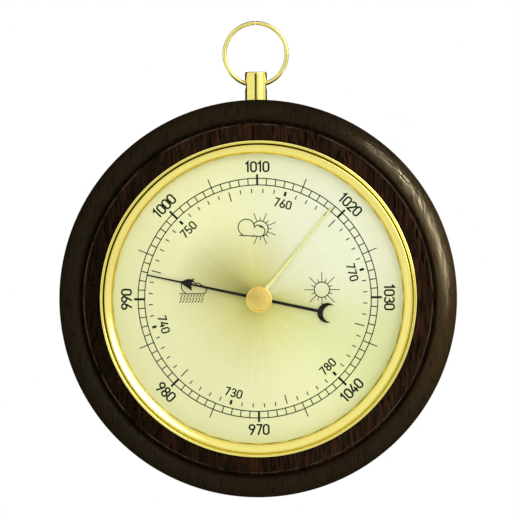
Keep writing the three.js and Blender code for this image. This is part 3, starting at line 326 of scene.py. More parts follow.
def soft_line(points, steps=6):
    """A smooth line through the points."""
    line = []
    for i in range(len(points) - 1):
        p0, p1, p2 = (Vector(points[max(0, i + k)]) for k in (-1, 0, 1))
        p3 = Vector(points[min(len(points) - 1, i + 2)])
        for t in (k / steps for k in range(steps)):
            q = 0.5 * (2 * p1 + (p2 - p0) * t + (2 * p0 - 5 * p1 + 4 * p2 - p3) * t * t
                       + (3 * p1 - p0 - 3 * p2 + p3) * t ** 3)
            line.append((q.x, q.y))
    return line + [points[-1]]


def cylinder(name, sides, radius, depth, place):
    """A plain cylinder to cut with, at a matrix."""
    return new_piece(name, plain_mesh(name, lambda bm: bmesh.ops.create_cone(
        bm, cap_ends=True, segments=sides, radius1=radius, radius2=radius, depth=depth, matrix=place
    )))


def cut_with(piece, cutter):
    """Takes the cutter out of the piece and removes it."""
    carve = piece.modifiers.new("cut", "BOOLEAN")
    carve.operation, carve.solver, carve.object = "DIFFERENCE", "EXACT", cutter
    bake_modifiers(piece)
    bpy.data.objects.remove(cutter)


def bake_modifiers(piece):
    """Turns the piece with its modifiers into a plain mesh."""
    graph = bpy.context.evaluated_depsgraph_get()
    graph.update()
    mesh = bpy.data.meshes.new_from_object(piece.evaluated_get(graph))
    piece.modifiers.clear()
    old, piece.data = piece.data, mesh
    mesh.name = piece.name
    bpy.data.meshes.remove(old)
    smooth(mesh)


def add_stroke(bm, points, width, place, closed=False):
    """A flat printed line along the points. place(x, y, raised) gives a point of the dial."""
    n = len(points)
    flat = [Vector(p) for p in points]
    rows = []
    sharpest = 0.4
    for i, p in enumerate(flat):
        before = flat[i - 1] if closed or i else None
        after = flat[(i + 1) % n] if closed or i < n - 1 else None
        ins = (p - before).normalized() if before else (after - p).normalized()
        out = (after - p).normalized() if after else ins
        across = Vector((-ins.y, ins.x))
        side = (across + Vector((-out.y, out.x))).normalized()
        reach = width / 2 / max(sharpest, side.dot(across))
        corners = [p + side * reach, p - side * reach]
        rows.append([bm.verts.new(place(c.x, c.y, raised)) for raised in (0, 1) for c in corners])
    for i in range(n if closed else n - 1):
        a, b = rows[i], rows[(i + 1) % n]
        for j, k in ((0, 1), (1, 3), (3, 2), (2, 0)):
            bm.faces.new((a[j], a[k], b[k], b[j]))
    if not closed:
        for row in (rows[0], rows[-1]):
            bm.faces.new((row[0], row[1], row[3], row[2]))


# Nodes


class Nodes:
    """Adds nodes and links to a tree in one call."""

    def __init__(self, tree):
        self.tree = tree

    def node(self, kind, **values):
        """A new node. A value named in_LABEL or in_NUMBER feeds that input."""
        node = self.tree.nodes.new(kind)
        inputs = {key: values.pop(key) for key in list(values) if key.startswith("in_")}
        for key, value in values.items():
            setattr(node, key, value)
        for key, value in inputs.items():
            label = key[3:].replace("_", " ")
            self.feed(node.inputs[int(label) if label.isdigit() else label], value)
        return node

    def out(self, kind, **values):
        return self.node(kind, **values).outputs[0]

    def feed(self, socket, value):
        if isinstance(value, bpy.types.NodeSocket):
            self.tree.links.new(value, socket)
        elif socket.type == "RGBA" and len(value) == 3:
            socket.default_value = (*value, 1.0)
        else:
            socket.default_value = value

    def given(self, *labels):
        """What comes in at the tree's own inputs of those names."""
        found = [self.start.outputs[label] for label in labels]
        return found if len(labels) > 1 else found[0]

    def math(self, operation, a, b=0.0, clamp=False):
        return self.out("ShaderNodeMath", operation=operation, use_clamp=clamp, in_0=a, in_1=b)

    def times(self, product, *factors):
        for factor in factors:
            product = self.math("MULTIPLY", product, factor)
        return product

    def plus(self, a, b, clamp=False):
        return self.math("ADD", a, b, clamp)

    def minus(self, a, b, clamp=False):
        return self.math("SUBTRACT", a, b, clamp)

    def vector(self, x=0.0, y=0.0, z=0.0):
        return self.out("ShaderNodeCombineXYZ", in_X=x, in_Y=y, in_Z=z)


class Tree(Nodes):
    """A geometry node tree in the making, with named inputs."""

    def __init__(self, name, counts, sizes=""):
        super().__init__(bpy.data.node_groups.new(name, "GeometryNodeTree"))
        add = self.tree.interface.new_socket
        add("Geometry", in_out="OUTPUT", socket_type="NodeSocketGeometry")
        for kind, labels in (("Geometry", "Geometry"), ("Int", counts), ("Float", sizes),
                             ("Material", "Material")):
            for label in labels.split():
                add(label.replace("_", " "), in_out="INPUT", socket_type=f"NodeSocket{kind}")
        self.start = self.node("NodeGroupInput")

    def index(self):
        return self.out("GeometryNodeInputIndex")

    def stepped(self):
        """Start, and one Step more for each copy."""
        return self.plus(self.given("Start"), self.times(self.index(), self.given("Step")))

    def at_depth(self, x, z):
        """The place across and up, at the tree's Depth."""
        return self.vector(x, self.times(self.given("Depth"), -1.0), z)

    def repeat(self, shape, place, angle):
        """Ends the tree in Count copies of a shape, each turned clockwise by its angle."""
        points = self.out("GeometryNodeMeshLine", in_Count=self.given("Count"))
        placed = self.out("GeometryNodeSetPosition", in_Geometry=points, in_Position=place)
        return self.finish(self.out(
            "GeometryNodeInstanceOnPoints", in_Points=placed, in_Instance=shape,
            in_Rotation=self.vector(0.0, angle, 0.0),
        ))

    def finish(self, geometry):
        """Ends the tree in Realize Instances and Set Material."""
        real = self.out("GeometryNodeRealizeInstances", in_Geometry=geometry)
        inked = self.out(
            "GeometryNodeSetMaterial", in_Geometry=real, in_Material=self.given("Material")
        )
        self.node("NodeGroupOutput", in_0=inked)
        return self.tree


def division_ring():
    """Bars that stand round a centre at even steps: a scale's divisions, or a sun's rays."""
    tree = Tree("Division ring", "Count",
                "Start Step Inner Outer Width Depth Thickness Centre_X Centre_Z")
    inner, outer, centre_x, centre_z = tree.given("Inner", "Outer", "Centre X", "Centre Z")
    angle, middle = tree.stepped(), tree.times(tree.plus(inner, outer), 0.5)
    x = tree.plus(centre_x, tree.times(tree.math("SINE", angle), middle))
    z = tree.plus(centre_z, tree.times(tree.math("COSINE", angle), middle))
    size = tree.vector(*tree.given("Width", "Thickness"), tree.minus(outer, inner))
    return tree.repeat(tree.out("GeometryNodeMeshCube", in_Size=size), tree.at_depth(x, z), angle)


def circle_line():
    """A printed circle."""
    tree = Tree("Circle line", "", "Radius Width Depth Thickness Centre_X Centre_Z")
    radius, width, thickness = tree.given("Radius", "Width", "Thickness")
    ring = tree.out("GeometryNodeCurvePrimitiveCircle", in_Resolution=180, in_Radius=radius)
    stood = tree.out(
        "GeometryNodeTransform", in_Geometry=ring, in_Rotation=(math.pi / 2, 0.0, 0.0),
        in_Translation=tree.at_depth(*tree.given("Centre X", "Centre Z")),
    )
    profile = tree.out(
        "GeometryNodeCurvePrimitiveQuadrilateral", in_Width=width, in_Height=thickness
    )
    line = tree.out("GeometryNodeCurveToMesh", in_Curve=stood, in_Profile_Curve=profile)
    return tree.finish(line)


def rain_rows():
    """Rows of short dashes below a cloud, which slant one way and the other from row to row."""
    tree = Tree("Rain rows", "Columns Count",
                "Column_Step Row_Step Shift Left Top Slant Dash Width Depth Thickness")
    index, columns = tree.index(), tree.given("Columns")
    column = tree.math("MODULO", index, columns)
    row = tree.math("FLOOR", tree.math("DIVIDE", index, columns))
    across = tree.times(column, tree.given("Column Step"))
    shift = tree.plus(across, tree.times(row, tree.given("Shift")))
    x = tree.plus(tree.given("Left"), shift)
    z = tree.minus(tree.given("Top"), tree.times(row, tree.given("Row Step")))
    way = tree.minus(1.0, tree.times(tree.math("MODULO", row, 2.0), 2.0))
    size = tree.vector(*tree.given("Width", "Thickness", "Dash"))
    dash = tree.out("GeometryNodeMeshCube", in_Size=size)
    return tree.repeat(dash, tree.at_depth(x, z), tree.times(tree.given("Slant"), way))


def copies_round():
    """The given geometry, repeated round the dial's axis."""
    tree = Tree("Copies round", "Count", "Start Step")
    return tree.repeat(tree.given("Geometry"), tree.vector(), tree.stepped())


def grown(name, group, mesh=None, **values):
    """A piece that a geometry node tree makes, as a plain mesh. Inputs are set by identifier."""
    piece = new_piece(name, mesh or bpy.data.meshes.new(name))
    grow = piece.modifiers.new("grow", "NODES")
    grow.node_group = group
    for item in group.interface.items_tree:
        key = item.name.replace(" ", "_")
        if item.in_out == "INPUT" and key in values:
            grow[item.identifier] = values[key]
    bake_modifiers(piece)
    return piece


def joined(name, pieces):
    """One piece from several, with the first one's material."""
    mesh = plain_mesh(name, lambda bm: [bm.from_mesh(piece.data) for piece in pieces])
    mesh.materials.append(pieces[0].data.materials[0])
    for piece in pieces:
        bpy.data.objects.remove(piece)
    smooth(mesh)
    return new_piece(name, mesh)


class Shades(Nodes):
    """Adds shader nodes. Its value `at` is the place that every pattern is looked up at."""

    def mix(self, factor, a, b):
        node = self.node("ShaderNodeMix", data_type="RGBA", in_0=factor, in_6=a, in_7=b)
        return node.outputs[2]

    def layers(self, tone, *coats):
        """The tone under coats of (mask, colour), each over the one before."""
        for mask, colour in coats:
            tone = self.mix(mask, tone, colour)
        return tone

    def spread(self, value, low, high, to_low=0.0, to_high=1.0):
        return self.out(
            "ShaderNodeMapRange", clamp=True, in_Value=value, in_From_Min=low, in_From_Max=high,
            in_To_Min=to_low, in_To_Max=to_high,
        )

    def noise(self, vector, scale, detail=2.0, roughness=0.5):
        return self.out(
            "ShaderNodeTexNoise", in_Vector=vector, in_Scale=scale, in_Detail=detail,
            in_Roughness=roughness,
        )

    def split(self, vector):
        return self.node("ShaderNodeSeparateXYZ", in_Vector=vector).outputs

    def round_axis(self):
        """The distance from the dial's axis and the angle clockwise from the top."""
        x, _, z = self.split(self.at)
        across = self.plus(self.times(x, x), self.times(z, z))
        return self.math("SQRT", across), self.math("ARCTAN2", x, z)

    def beside(self, radius, ring, near, far, strength):
        """A line at the radius of a ring, full within near of it and gone at far."""
        off = self.math("ABSOLUTE", self.minus(radius, ring))
        return self.spread(off, near, far, strength, 0.0)

    def group(self, name, **inputs):
        """The outputs of a shared effect."""
        node = self.node("ShaderNodeGroup", node_tree=bpy.data.node_groups[name])
        for label, value in {"Vector": self.at, **inputs}.items():
            self.feed(node.inputs[label], value)
        return node.outputs

    def mask(self, name, **inputs):
        return self.group(name, **inputs)["Mask"]

    def fan(self, degrees, sharpness):
        return self.mask("Light fan", Angle=math.radians(degrees), Sharpness=sharpness)

    def show(self, factor, first, second, end="Material Output"):
        """Ends the tree in a mix of two shaders."""
        both = self.out("ShaderNodeMixShader", in_0=factor, in_1=first, in_2=second)
        self.feed(self.tree.nodes[end].inputs[0], both)


class Group(Shades):
    """A shader node group in the making: a place and numbers go in, masks and heights come out."""

    def __init__(self, name, outputs, **numbers):
        super().__init__(bpy.data.node_groups.new(name, "ShaderNodeTree"))
        add = self.tree.interface.new_socket
        add("Vector", in_out="INPUT", socket_type="NodeSocketVector")
        for label, number in numbers.items():
            add(label, in_out="INPUT", socket_type="NodeSocketFloat").default_value = number
        for label in outputs.split():
            add(label, in_out="OUTPUT", socket_type="NodeSocketFloat")
        self.start, self.end = self.node("NodeGroupInput"), self.node("NodeGroupOutput")
        self.at = self.given("Vector")

    def put_out(self, **values):
        for label, value in values.items():
            self.feed(self.end.inputs[label], value)


class Paint(Shades):
    """A material in the making. Its Principled shader's inputs are set by name."""

    def __init__(self, name):
        self.material = bpy.data.materials.new(name)
        self.material.use_nodes = True
        super().__init__(self.material.node_tree)
        self.shader = self.tree.nodes["Principled BSDF"]
        self.at = self.node("ShaderNodeTexCoord").outputs["Object"]

    def set(self, **inputs):
        for key, value in inputs.items():
            self.feed(self.shader.inputs[key.replace("_", " ")], value)
        return self.material

    def bump(self, height, strength, distance):
        self.set(Normal=self.out(
            "ShaderNodeBump", in_Height=height, in_Strength=strength, in_Distance=distance
        ))


# Effects that the materials share


def turned_lines():
    """Fine circles about the dial's axis, as a lathe or a spinning brush leaves them."""
    make = Group("Turned lines", "Tone Height", Lines=2500.0)
    radius, angle = make.round_axis()
    drift = [make.times(make.math(wave, angle), 1.5) for wave in ("SINE", "COSINE")]
    fine = make.noise(make.vector(make.times(radius, make.given("Lines")), *drift), 1.0, 3.0, 0.6)
    make.put_out(Tone=fine, Height=make.spread(fine, 0.3, 0.7))


def smudges():
    """Faint cloudy marks and specks, for how evenly a finish shines."""
    make = Group("Smudges", "Roughness Mask", Scale=60.0, Low=0.2, High=0.3)
    mask = make.spread(make.noise(make.at, make.given("Scale"), 4.0, 0.6), 0.35, 0.7)
    make.put_out(Roughness=make.spread(mask, 0.0, 1.0, *make.given("Low", "High")), Mask=mask)


def edge_wear():
    """Brighter along raised edges, broken up by noise."""
    make = Group("Edge wear", "Mask", Amount=0.5)
    edge = make.spread(make.node("ShaderNodeNewGeometry").outputs["Pointiness"], 0.51, 0.58)
    broken = make.spread(make.noise(make.at, 900.0, 3.0, 0.6), 0.4, 0.62)
    make.put_out(Mask=make.times(edge, broken, make.given("Amount")))


def wood_grain():
    """Straight grain that runs up the board: slow bands, fine lines and short open pores."""
    make = Group("Wood grain", "Bands Lines Pores")
    x, y, z = make.split(make.at)
    bent = make.plus(x, make.times(make.noise(make.at, 9.0), 0.006))

    def along(across, up, detail, roughness=0.5):
        way = make.vector(make.times(bent, across), make.times(y, across * 0.6), make.times(z, up))
        return make.noise(way, 1.0, detail, roughness)

    make.put_out(
        Bands=make.spread(along(190.0, 9.0, 3.0), 0.35, 0.68),
        Lines=make.spread(along(1000.0, 120.0, 3.0, 0.6), 0.46, 0.60),
        Pores=make.spread(along(1600.0, 200.0, 2.0), 0.56, 0.66),
    )


def light_fan():
    """A soft wedge that opens from the dial's centre, for painted light and shade."""
    make = Group("Light fan", "Mask", Angle=0.0, Sharpness=4.0)
    _, angle = make.round_axis()
    facing = make.math("COSINE", make.minus(angle, make.given("Angle")))
    fan = make.math("POWER", make.math("MAXIMUM", facing, 0.0), make.given("Sharpness"))
    make.put_out(Mask=fan)


def radial_streaks():
    """Thin rays that run out from the centre, strongest near it: the dial's painted sheen."""
    make = Group("Radial streaks", "Tone", Rays=11.0, Reach=0.045)
    radius, angle = make.round_axis()
    rays, reach = make.given("Rays", "Reach")
    x, z = (make.times(make.math(wave, angle), rays) for wave in ("SINE", "COSINE"))
    swing = make.minus(make.noise(make.vector(x, make.times(radius, 25.0), z), 1.0, 3.0, 0.65), 0.5)
    near = make.spread(radius, 0.0, reach, 1.0, 0.25)
    make.put_out(Tone=make.plus(make.times(swing, near), 0.5))


# Materials

# Painted shade for the bezel's groove
SHADED_GROOVE_TONE = (0.13, 0.065, 0.01)
TARNISH = (0.93, 0.60, 0.14)
OPEN_PORE = (0.002, 0.001, 0.0005)
# Painted shade for the wood's lower left
PAINTED_SHADE_WOOD = (0.002, 0.002, 0.0012)
# The half round's lighter tone: wear and painted sheen
WEAR_AND_SHEEN_WOOD = (0.0160, 0.0112, 0.0050)
# Painted sheen for the half round's right side
PAINTED_SHEEN_WOOD = (0.074, 0.045, 0.0170)
# Painted highlight for the wood's arris
PAINTED_ARRIS_HIGHLIGHT = (0.13, 0.085, 0.055)
BARE_EDGE = (0.04, 0.02, 0.009)
GREY_EDGE = (0.05, 0.05, 0.05)
# Painted light on the dial: the next seven colours are painted highlights, shade and sheen
PAINTED_HIGHLIGHT_GOLD = (0.95, 0.96, 0.82)
PAINTED_SHADE_GREEN_GOLD = (0.72, 0.78, 0.34)
PAINTED_CENTRE_SHADE_GOLD = (0.62, 0.57, 0.105)
PAINTED_SHADE_OLIVE = (0.28, 0.25, 0.04)
PAINTED_GLINT_GOLD = (0.93, 0.94, 0.66)
PAINTED_DARK_STREAK = (0.50, 0.48, 0.14)
PAINTED_PALE_STREAK = (0.94, 0.95, 0.74)
DARK_LINE = (0.50, 0.48, 0.20)
BLACK = (0.007, 0.007, 0.005)
THIN_BLACK = (0.014, 0.014, 0.010)
FINISHES = {}


def metal(name, colour, low, high, lines=2500.0, groove=0.15, wear=0.4, patches=None, shaded_groove=None):
    """Metal with turned lines, faint smudges and slightly brighter edges. It may have patches of a
    tarnish, and painted shade along a groove of a given radius, faded towards the bottom."""
    make = Paint(name)
    lathe = make.group("Turned lines", Lines=lines)
    tone = make.mix(make.spread(lathe["Tone"], 0.3, 0.7), [c * 0.86 for c in colour], colour)
    if patches:
        tone = make.mix(make.times(make.mask("Smudges", Scale=300.0), 0.8), tone, patches)
    pale = [min(1.0, c * 1.1 + 0.04) for c in colour]
    tone = make.mix(make.mask("Edge wear", Amount=wear), tone, pale)
    # Painted shade: a dark line along the groove, faded out towards the bottom
    if shaded_groove:
        line = make.beside(make.round_axis()[0], shaded_groove, 0.1 * MM, 0.26 * MM, 0.85)
        kept = make.spread(make.fan(168, 0.35), 0.0, 1.0, 1.0, 0.0)
        tone = make.mix(make.times(line, kept), tone, SHADED_GROOVE_TONE)
    make.bump(lathe["Height"], groove, 0.02 * MM)
    rough = make.group("Smudges", Low=low, High=high)["Roughness"]
    return make.set(Base_Color=tone, Roughness=rough, Metallic=1.0)


def dark_wood(sizes):
    """Stained open-grained wood under a satin varnish. Its half round is lighter and greyer,
    partly worn and partly painted sheen; painted shade and painted highlights lie on it too.
    """
    make = Paint("Dark wood")
    grain = make.group("Wood grain")
    bands, lines, pores = grain["Bands"], grain["Lines"], grain["Pores"]
    radius, _ = make.round_axis()
    foot = sizes.radius - sizes.moulding
    dark = [c * 0.35 for c in sizes.wood]
    # The half round is lightened, partly as wear and partly as painted sheen
    wear_and_sheen_most = 0.75
    wear_and_sheen = make.spread(radius, foot - 0.2 * MM, foot + 1.0 * MM, 0.0, wear_and_sheen_most)
    # Where painted shade darkens the hollow at the half round's foot
    hollow_shade = make.times(make.spread(radius, foot - 0.3 * MM, foot + 0.2 * MM),
                        make.spread(radius, foot + 0.1 * MM, foot + 1.0 * MM, 0.7, 0.0))
    arris_highlight = make.beside(radius, foot - sizes.quirk - 0.1 * MM, 0.1 * MM, 0.35 * MM, 0.85)
    tone = make.layers(
        sizes.wood,
        (lines, sizes.grain),
        (make.times(bands, 0.55), dark),
        # Painted shade: the frame's lower left is darker
        (make.times(make.fan(255, 0.6), 0.69), PAINTED_SHADE_WOOD),
        # Wear and painted sheen lighten the half round
        (wear_and_sheen, WEAR_AND_SHEEN_WOOD),
        # Painted sheen on the half round's right side
        (make.times(make.fan(80, 5.0), wear_and_sheen), PAINTED_SHEEN_WOOD),
        (make.times(pores, make.spread(wear_and_sheen, 0.0, wear_and_sheen_most, 1.0, 0.45)), OPEN_PORE),
        # Painted shade in the hollow at the half round's foot
        (hollow_shade, dark),
        # Painted highlight along the flat's outer arris, broken by smudges
        (make.times(arris_highlight, make.mask("Smudges", Scale=180.0)), PAINTED_ARRIS_HIGHLIGHT),
        (make.mask("Edge wear", Amount=0.35), BARE_EDGE),
    )
    cloud = make.group("Smudges", Scale=35.0, Low=0.6, High=0.75)
    varnish = make.spread(radius, foot + 0.1 * MM, foot + 1.2 * MM, 0.0, 0.10)
    for mask, least in ((cloud["Mask"], 0.7), (lines, 0.35), (pores, 0.2)):
        varnish = make.times(varnish, make.spread(mask, 0.0, 1.0, 1.0, least))
    rim = make.spread(radius, sizes.radius - 3.4 * MM, sizes.radius - 1.2 * MM, 1.0, 0.3)
    make.bump(make.minus(make.times(lines, 0.35), pores), 0.35, 0.08 * MM)
    return make.set(
        Base_Color=tone, Roughness=cloud["Roughness"], Specular_IOR_Level=0.0,
        Coat_Weight=make.times(varnish, rim), Coat_Roughness=0.56,
    )


def spun_dial(sizes):
    """Pale gold metal spun in circles, with soft fans of painted light and shade."""
    make = Paint("Spun dial")
    lathe = make.group("Turned lines", Lines=3500.0)
    streaks = make.group("Radial streaks")["Tone"]
    # Painted shade grows towards the dial's centre
    centre_shade = make.spread(make.round_axis()[0], 3 * MM, 30 * MM, 1.0, 0.0)
    tone = make.layers(
        sizes.plate,
        # Painted highlight: a broad pale fan to the upper right
        (make.times(make.fan(50, 3.0), 0.8), PAINTED_HIGHLIGHT_GOLD),
        # Painted shade: a darker fan to the lower right, darker towards the centre, darkest to the
        # upper left near it
        (make.times(make.fan(118, 9.0), 0.6), PAINTED_SHADE_GREEN_GOLD),
        (make.math("POWER", centre_shade, 1.5), PAINTED_CENTRE_SHADE_GOLD),
        (make.times(make.fan(303, 5.0), make.plus(make.times(centre_shade, 0.95), 0.03)), PAINTED_SHADE_OLIVE),
        # Painted highlight: a narrow pale fan to the upper right
        (make.times(make.fan(56, 14.0), 0.6), PAINTED_GLINT_GOLD),
        # Painted sheen: dark and pale streaks running out from the centre
        (make.spread(streaks, 0.5, 0.72, 0.0, 0.13), PAINTED_DARK_STREAK),
        (make.spread(streaks, 0.28, 0.5, 0.12, 0.0), PAINTED_PALE_STREAK),
        (make.spread(lathe["Tone"], 0.3, 0.7, 0.0, 0.10), DARK_LINE),
    )
    cloud = make.group("Smudges", Scale=90.0, Low=0.42, High=0.50)
    make.bump(lathe["Height"], 0.1, 0.02 * MM)
    return make.set(
        Base_Color=tone, Roughness=cloud["Roughness"], Metallic=0.15, Anisotropic=0.7,
        Tangent=make.out("ShaderNodeTangent", axis="Y"),
    )


def printing_ink(sizes):
    """Black ink, a little paler where it lies thin."""
    make = Paint("Printing ink")
    cloud = make.group("Smudges", Scale=700.0, Low=0.45, High=0.6)
    tone = make.mix(make.times(cloud["Mask"], 0.6), sizes.ink, [c * 1.8 for c in sizes.ink])
    return make.set(Base_Color=tone, Roughness=cloud["Roughness"], Specular_IOR_Level=0.05)


def black_paint():
    """Black paint on the pressure hand, rubbed grey at its edges."""
    make = Paint("Black paint")
    cloud = make.group("Smudges", Scale=400.0, Low=0.38, High=0.52)
    tone = make.layers(
        BLACK, (make.times(cloud["Mask"], 0.5), THIN_BLACK),
        (make.mask("Edge wear", Amount=0.3), GREY_EDGE),
    )
    return make.set(Base_Color=tone, Roughness=cloud["Roughness"], Specular_IOR_Level=0.05)


def clear_glass():
    """Flat glass that lamps shine through, with a faint unevenness in its polish."""
    make = Paint("Clear glass")
    rough = make.group("Smudges", Scale=25.0, Low=0.0, High=0.02)["Roughness"]
    make.set(Base_Color=(0.97, 0.99, 0.98), Roughness=rough, Transmission_Weight=1.0, IOR=1.1)
    path = make.node("ShaderNodeLightPath").outputs
    lamp = make.math("MAXIMUM", path["Is Shadow Ray"], path["Is Diffuse Ray"])
    make.show(lamp, make.shader.outputs[0], make.out("ShaderNodeBsdfTransparent"))
    return make.material


def floor_paper(colour):
    """Plain pale paper with a faint tooth, which brass mirrors as white."""
    make = Paint("Floor paper")
    tooth = make.noise(make.at, 400.0, 3.0)
    make.set(Base_Color=make.mix(tooth, [c * 0.97 for c in colour], colour), Roughness=0.9)
    glossy = make.node("ShaderNodeLightPath").outputs["Is Glossy Ray"]
    make.show(glossy, make.shader.outputs[0], make.out("ShaderNodeEmission", in_Strength=0.95))
    return make.material


def card_paper():
    """Black card, which gives flat glass and round brass something dark to mirror."""
    make = Paint("Black card")
    tone = make.mix(make.noise(make.at, 60.0, 3.0), (0.004, 0.004, 0.004), (0.012, 0.012, 0.012))
    return make.set(Base_Color=tone, Roughness=1.0, Specular_IOR_Level=0.0)


# Operators


class BAROMETER_OT_finishes(bpy.types.Operator):
    """Make every material of the barometer"""

    bl_idname = "barometer.finishes"
    bl_label = "Finishes"

    def execute(self, context):
        for effect in (turned_lines, smudges, edge_wear, wood_grain, light_fan, radial_streaks):
            effect()
        brass, dial = settings("brass"), settings("dial")
        polished, satin = brass.polished, brass.satin
        # Name, colour, least and most roughness, lines, groove, wear, patches and painted groove
        # shade
        for key, row in {
            "polished": ("Polished brass", polished, 0.10, 0.20, 1600.0, 0.05, 0.3),
            "bezel": ("Bezel brass", polished, 0.10, 0.20, 1600.0, 0.05, 0.3, None, brass.groove),
            "pale": ("Pale brass", (1.0, 0.93, 0.38), 0.22, 0.32, 5000.0, 0.1, 0.5),
            "satin": ("Satin brass", satin, 0.30, 0.40, 5000.0, 0.35, 0.5),
            "knob": ("Spun brass", satin, 0.26, 0.40, 4200.0, 0.6, 0.5, TARNISH),
            "movement": ("Movement brass", (0.72, 0.53, 0.22), 0.28, 0.42, 3000.0, 0.3),
            "steel": ("Bright steel", (0.58, 0.58, 0.57), 0.22, 0.36, 4000.0, 0.2),
            "spring": ("Blued steel", (0.16, 0.22, 0.38), 0.2, 0.3, 4000.0, 0.1),
            "case": ("Passivated case", (0.62, 0.52, 0.28), 0.32, 0.5, 1200.0, 0.3, 0.5),
            "capsule": ("Capsule metal", (0.66, 0.55, 0.38), 0.2, 0.32, 1500.0, 0.2),
        }.items():
            FINISHES[key] = metal(*row)
        FINISHES.update(
            wood=dark_wood(settings("frame")), dial=spun_dial(dial), ink=printing_ink(dial),
            black=black_paint(), glass=clear_glass(),
        )
        return {"FINISHED"}


NODE_FINISHES = {
    "movement": (
        "base_plate", "front_plate", "dial_seat_ring", *numbered("pillar"), *numbered("spacer"),
        "capsule_post", "contact_arm", "drive_arm", "bearing_bracket_left",
        "bearing_bracket_right", "sector", "pinion", "hairspring_collet", "hairspring_stud",
    ),
    "steel": (
        *numbered("case_screw"), *numbered("pillar_nut"), "adjust_leaf", *numbered("leaf_screw", 2),
        "capsule_nut", "pivot_screw_left", "pivot_screw_right", "rocker_shaft", "sector_arbor",
        "hand_arbor", "friction_washer",
    ),
    "spring": ("hairspring",),
    "capsule": ("capsule_back",),
    "satin": ("set_spindle", "adjust_screw"),
    "polished": ("glass_spacer_ring",),
}


class BAROMETER_OT_movement(bpy.types.Operator):
    """Give the movement's own parts their brass, steel and spring finishes"""

    bl_idname = "barometer.movement"
    bl_label = "Movement"

    def execute(self, context):
        for name, nodes in NODE_FINISHES.items():
            for node in nodes:
                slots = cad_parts[node].material_slots
                if not slots:
                    raise RuntimeError(f"{node} has no material slot")
                for slot in slots:
                    slot.material = FINISHES[name]
        return {"FINISHED"}


def dress(piece, look, body, slot, *nodes):
    """Gives a piece its finish and its body, and hides the nodes that it stands for. Its slot is not
    used. A piece that is to be blended between bodies has no body of its own."""
    piece.data.materials.clear()
    piece.data.materials.append(FINISHES[look])
    if nodes:
        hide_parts(*nodes)
    if body:
        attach(piece, body)
    return piece


class BAROMETER_OT_capsule_face(bpy.types.Operator):
    """Copy the capsule's front into a piece that no body holds"""

    bl_idname = "barometer.capsule_face"
    bl_label = "Capsule's front"

    def execute(self, context):
        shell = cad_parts["capsule_front"].data
        face = piece_from("capsule_breathing_front", lambda bm: bm.from_mesh(shell))
        dress(face, "capsule", None, "capsule_metal", "capsule_front")
        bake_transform(face)
        return {"FINISHED"}


class BAROMETER_OT_wood_frame(bpy.types.Operator):
    """Turn the wood frame: half round, quirk, flat and the recess behind"""

    bl_idname = "barometer.wood_frame"
    bl_label = "Wood frame"

    def execute(self, context):
        s = settings("frame")
        inner, half = s.radius - s.moulding, s.moulding / 2
        foot = FLAT_DEPTH - 0.1 * MM
        crest = arc(s.radius - half, foot, half, s.rise, 0, 180, 28)
        back = arc(s.radius - s.rounding, s.rounding, s.rounding, s.rounding, -90, 0, 8)
        quirk = [crest[-1], (inner - s.quirk / 2, FLAT_DEPTH - s.quirk_cut),
                 (inner - s.quirk, FLAT_DEPTH), (s.bore, FLAT_DEPTH)]
        behind = [(s.bore, s.recess_cut), (s.recess, s.recess_cut), (s.recess, 0)]
        section = (back + crest[:-1] + rounded(quirk, 0.15 * MM, 3, closed=False)
                   + rounded(behind, 0.2 * MM, 3, closed=False))
        piece = turned("frame_wood", section, RIM_SIDES)
        deep, reach = s.radius * 0.1, settings("brass").stud + 0.4 * MM
        seat = Matrix.Translation((0, -STUD_DEPTH, s.seat + deep / 2))
        cut_with(piece, cylinder("seat", BORE_SIDES, reach, deep, seat))
        dress(piece, "wood", "housing", "dark_wood", "wood_frame")
        return {"FINISHED"}


class BAROMETER_OT_case(bpy.types.Operator):
    """Draw the case's can, and set the clamps and their slotted screws behind"""

    bl_idname = "barometer.case"
    bl_label = "Case and clamps"

    def execute(self, context):
        s = settings("frame")
        radius, step = cad_radius("movement_case"), 42.0 * MM
        wall, floor, slope = 0.5 * MM, 0.6 * MM, 1 * MM
        shelf = s.recess_cut + floor
        can = rounded(
            [(step - slope, 0), (step, s.recess_cut), (radius - 0.2 * MM, s.recess_cut),
             (radius, FLAT_DEPTH), (radius - wall, FLAT_DEPTH), (radius - wall, shelf),
             (step - wall, shelf), (step - wall - slope, floor)], 0.45 * MM,
        )
        # The can's floor joins the outline where it lies nearest the wall and the axis
        start = min(range(len(can)), key=lambda i: can[i][0] + 10 * can[i][1])
        section = [(0, 0), (step - 2 * MM, 0)] + can[start:] + can[:start] + [(0, floor)]
        piece = turned("case_can", section, PLATE_SIDES)
        low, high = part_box("adjust_screw")
        hole = Vector(((low.x + high.x) / 2, 0, (low.z + high.z) / 2))
        bore, past = 2.8 * MM, 1.6 * MM
        cut_with(piece, piece_from("cutter", lambda bm: add_turned(
            bm, [(0, -MM), (bore, -MM), (bore, past), (0, past)], BORE_SIDES,
            lambda *point: on_dial(*point) + hole,
        )))
        dress(piece, "case", "housing", "case_metal", "movement_case")

        around, low_high = copies_round(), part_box("case_clamp_1")
        middle, seat = (s.bore + s.recess) / 2, -low_high[1].y
        for name, build, look, slot, node in (
            ("case_clamps", lambda bm: add_clamp(bm, *low_high), "steel", "steel", "case_clamp"),
            ("clamp_screws", lambda bm: add_screw(bm, middle, seat), "satin", "satin_brass",
             "clamp_screw"),
        ):
            copies = grown(
                name, around, mesh_from(name, build), Count=3, Start=math.pi / 2,
                Step=2 * math.pi / 3, Material=FINISHES[look],
            )
            dress(copies, look, "housing", slot, *numbered(node))
        return {"FINISHED"}


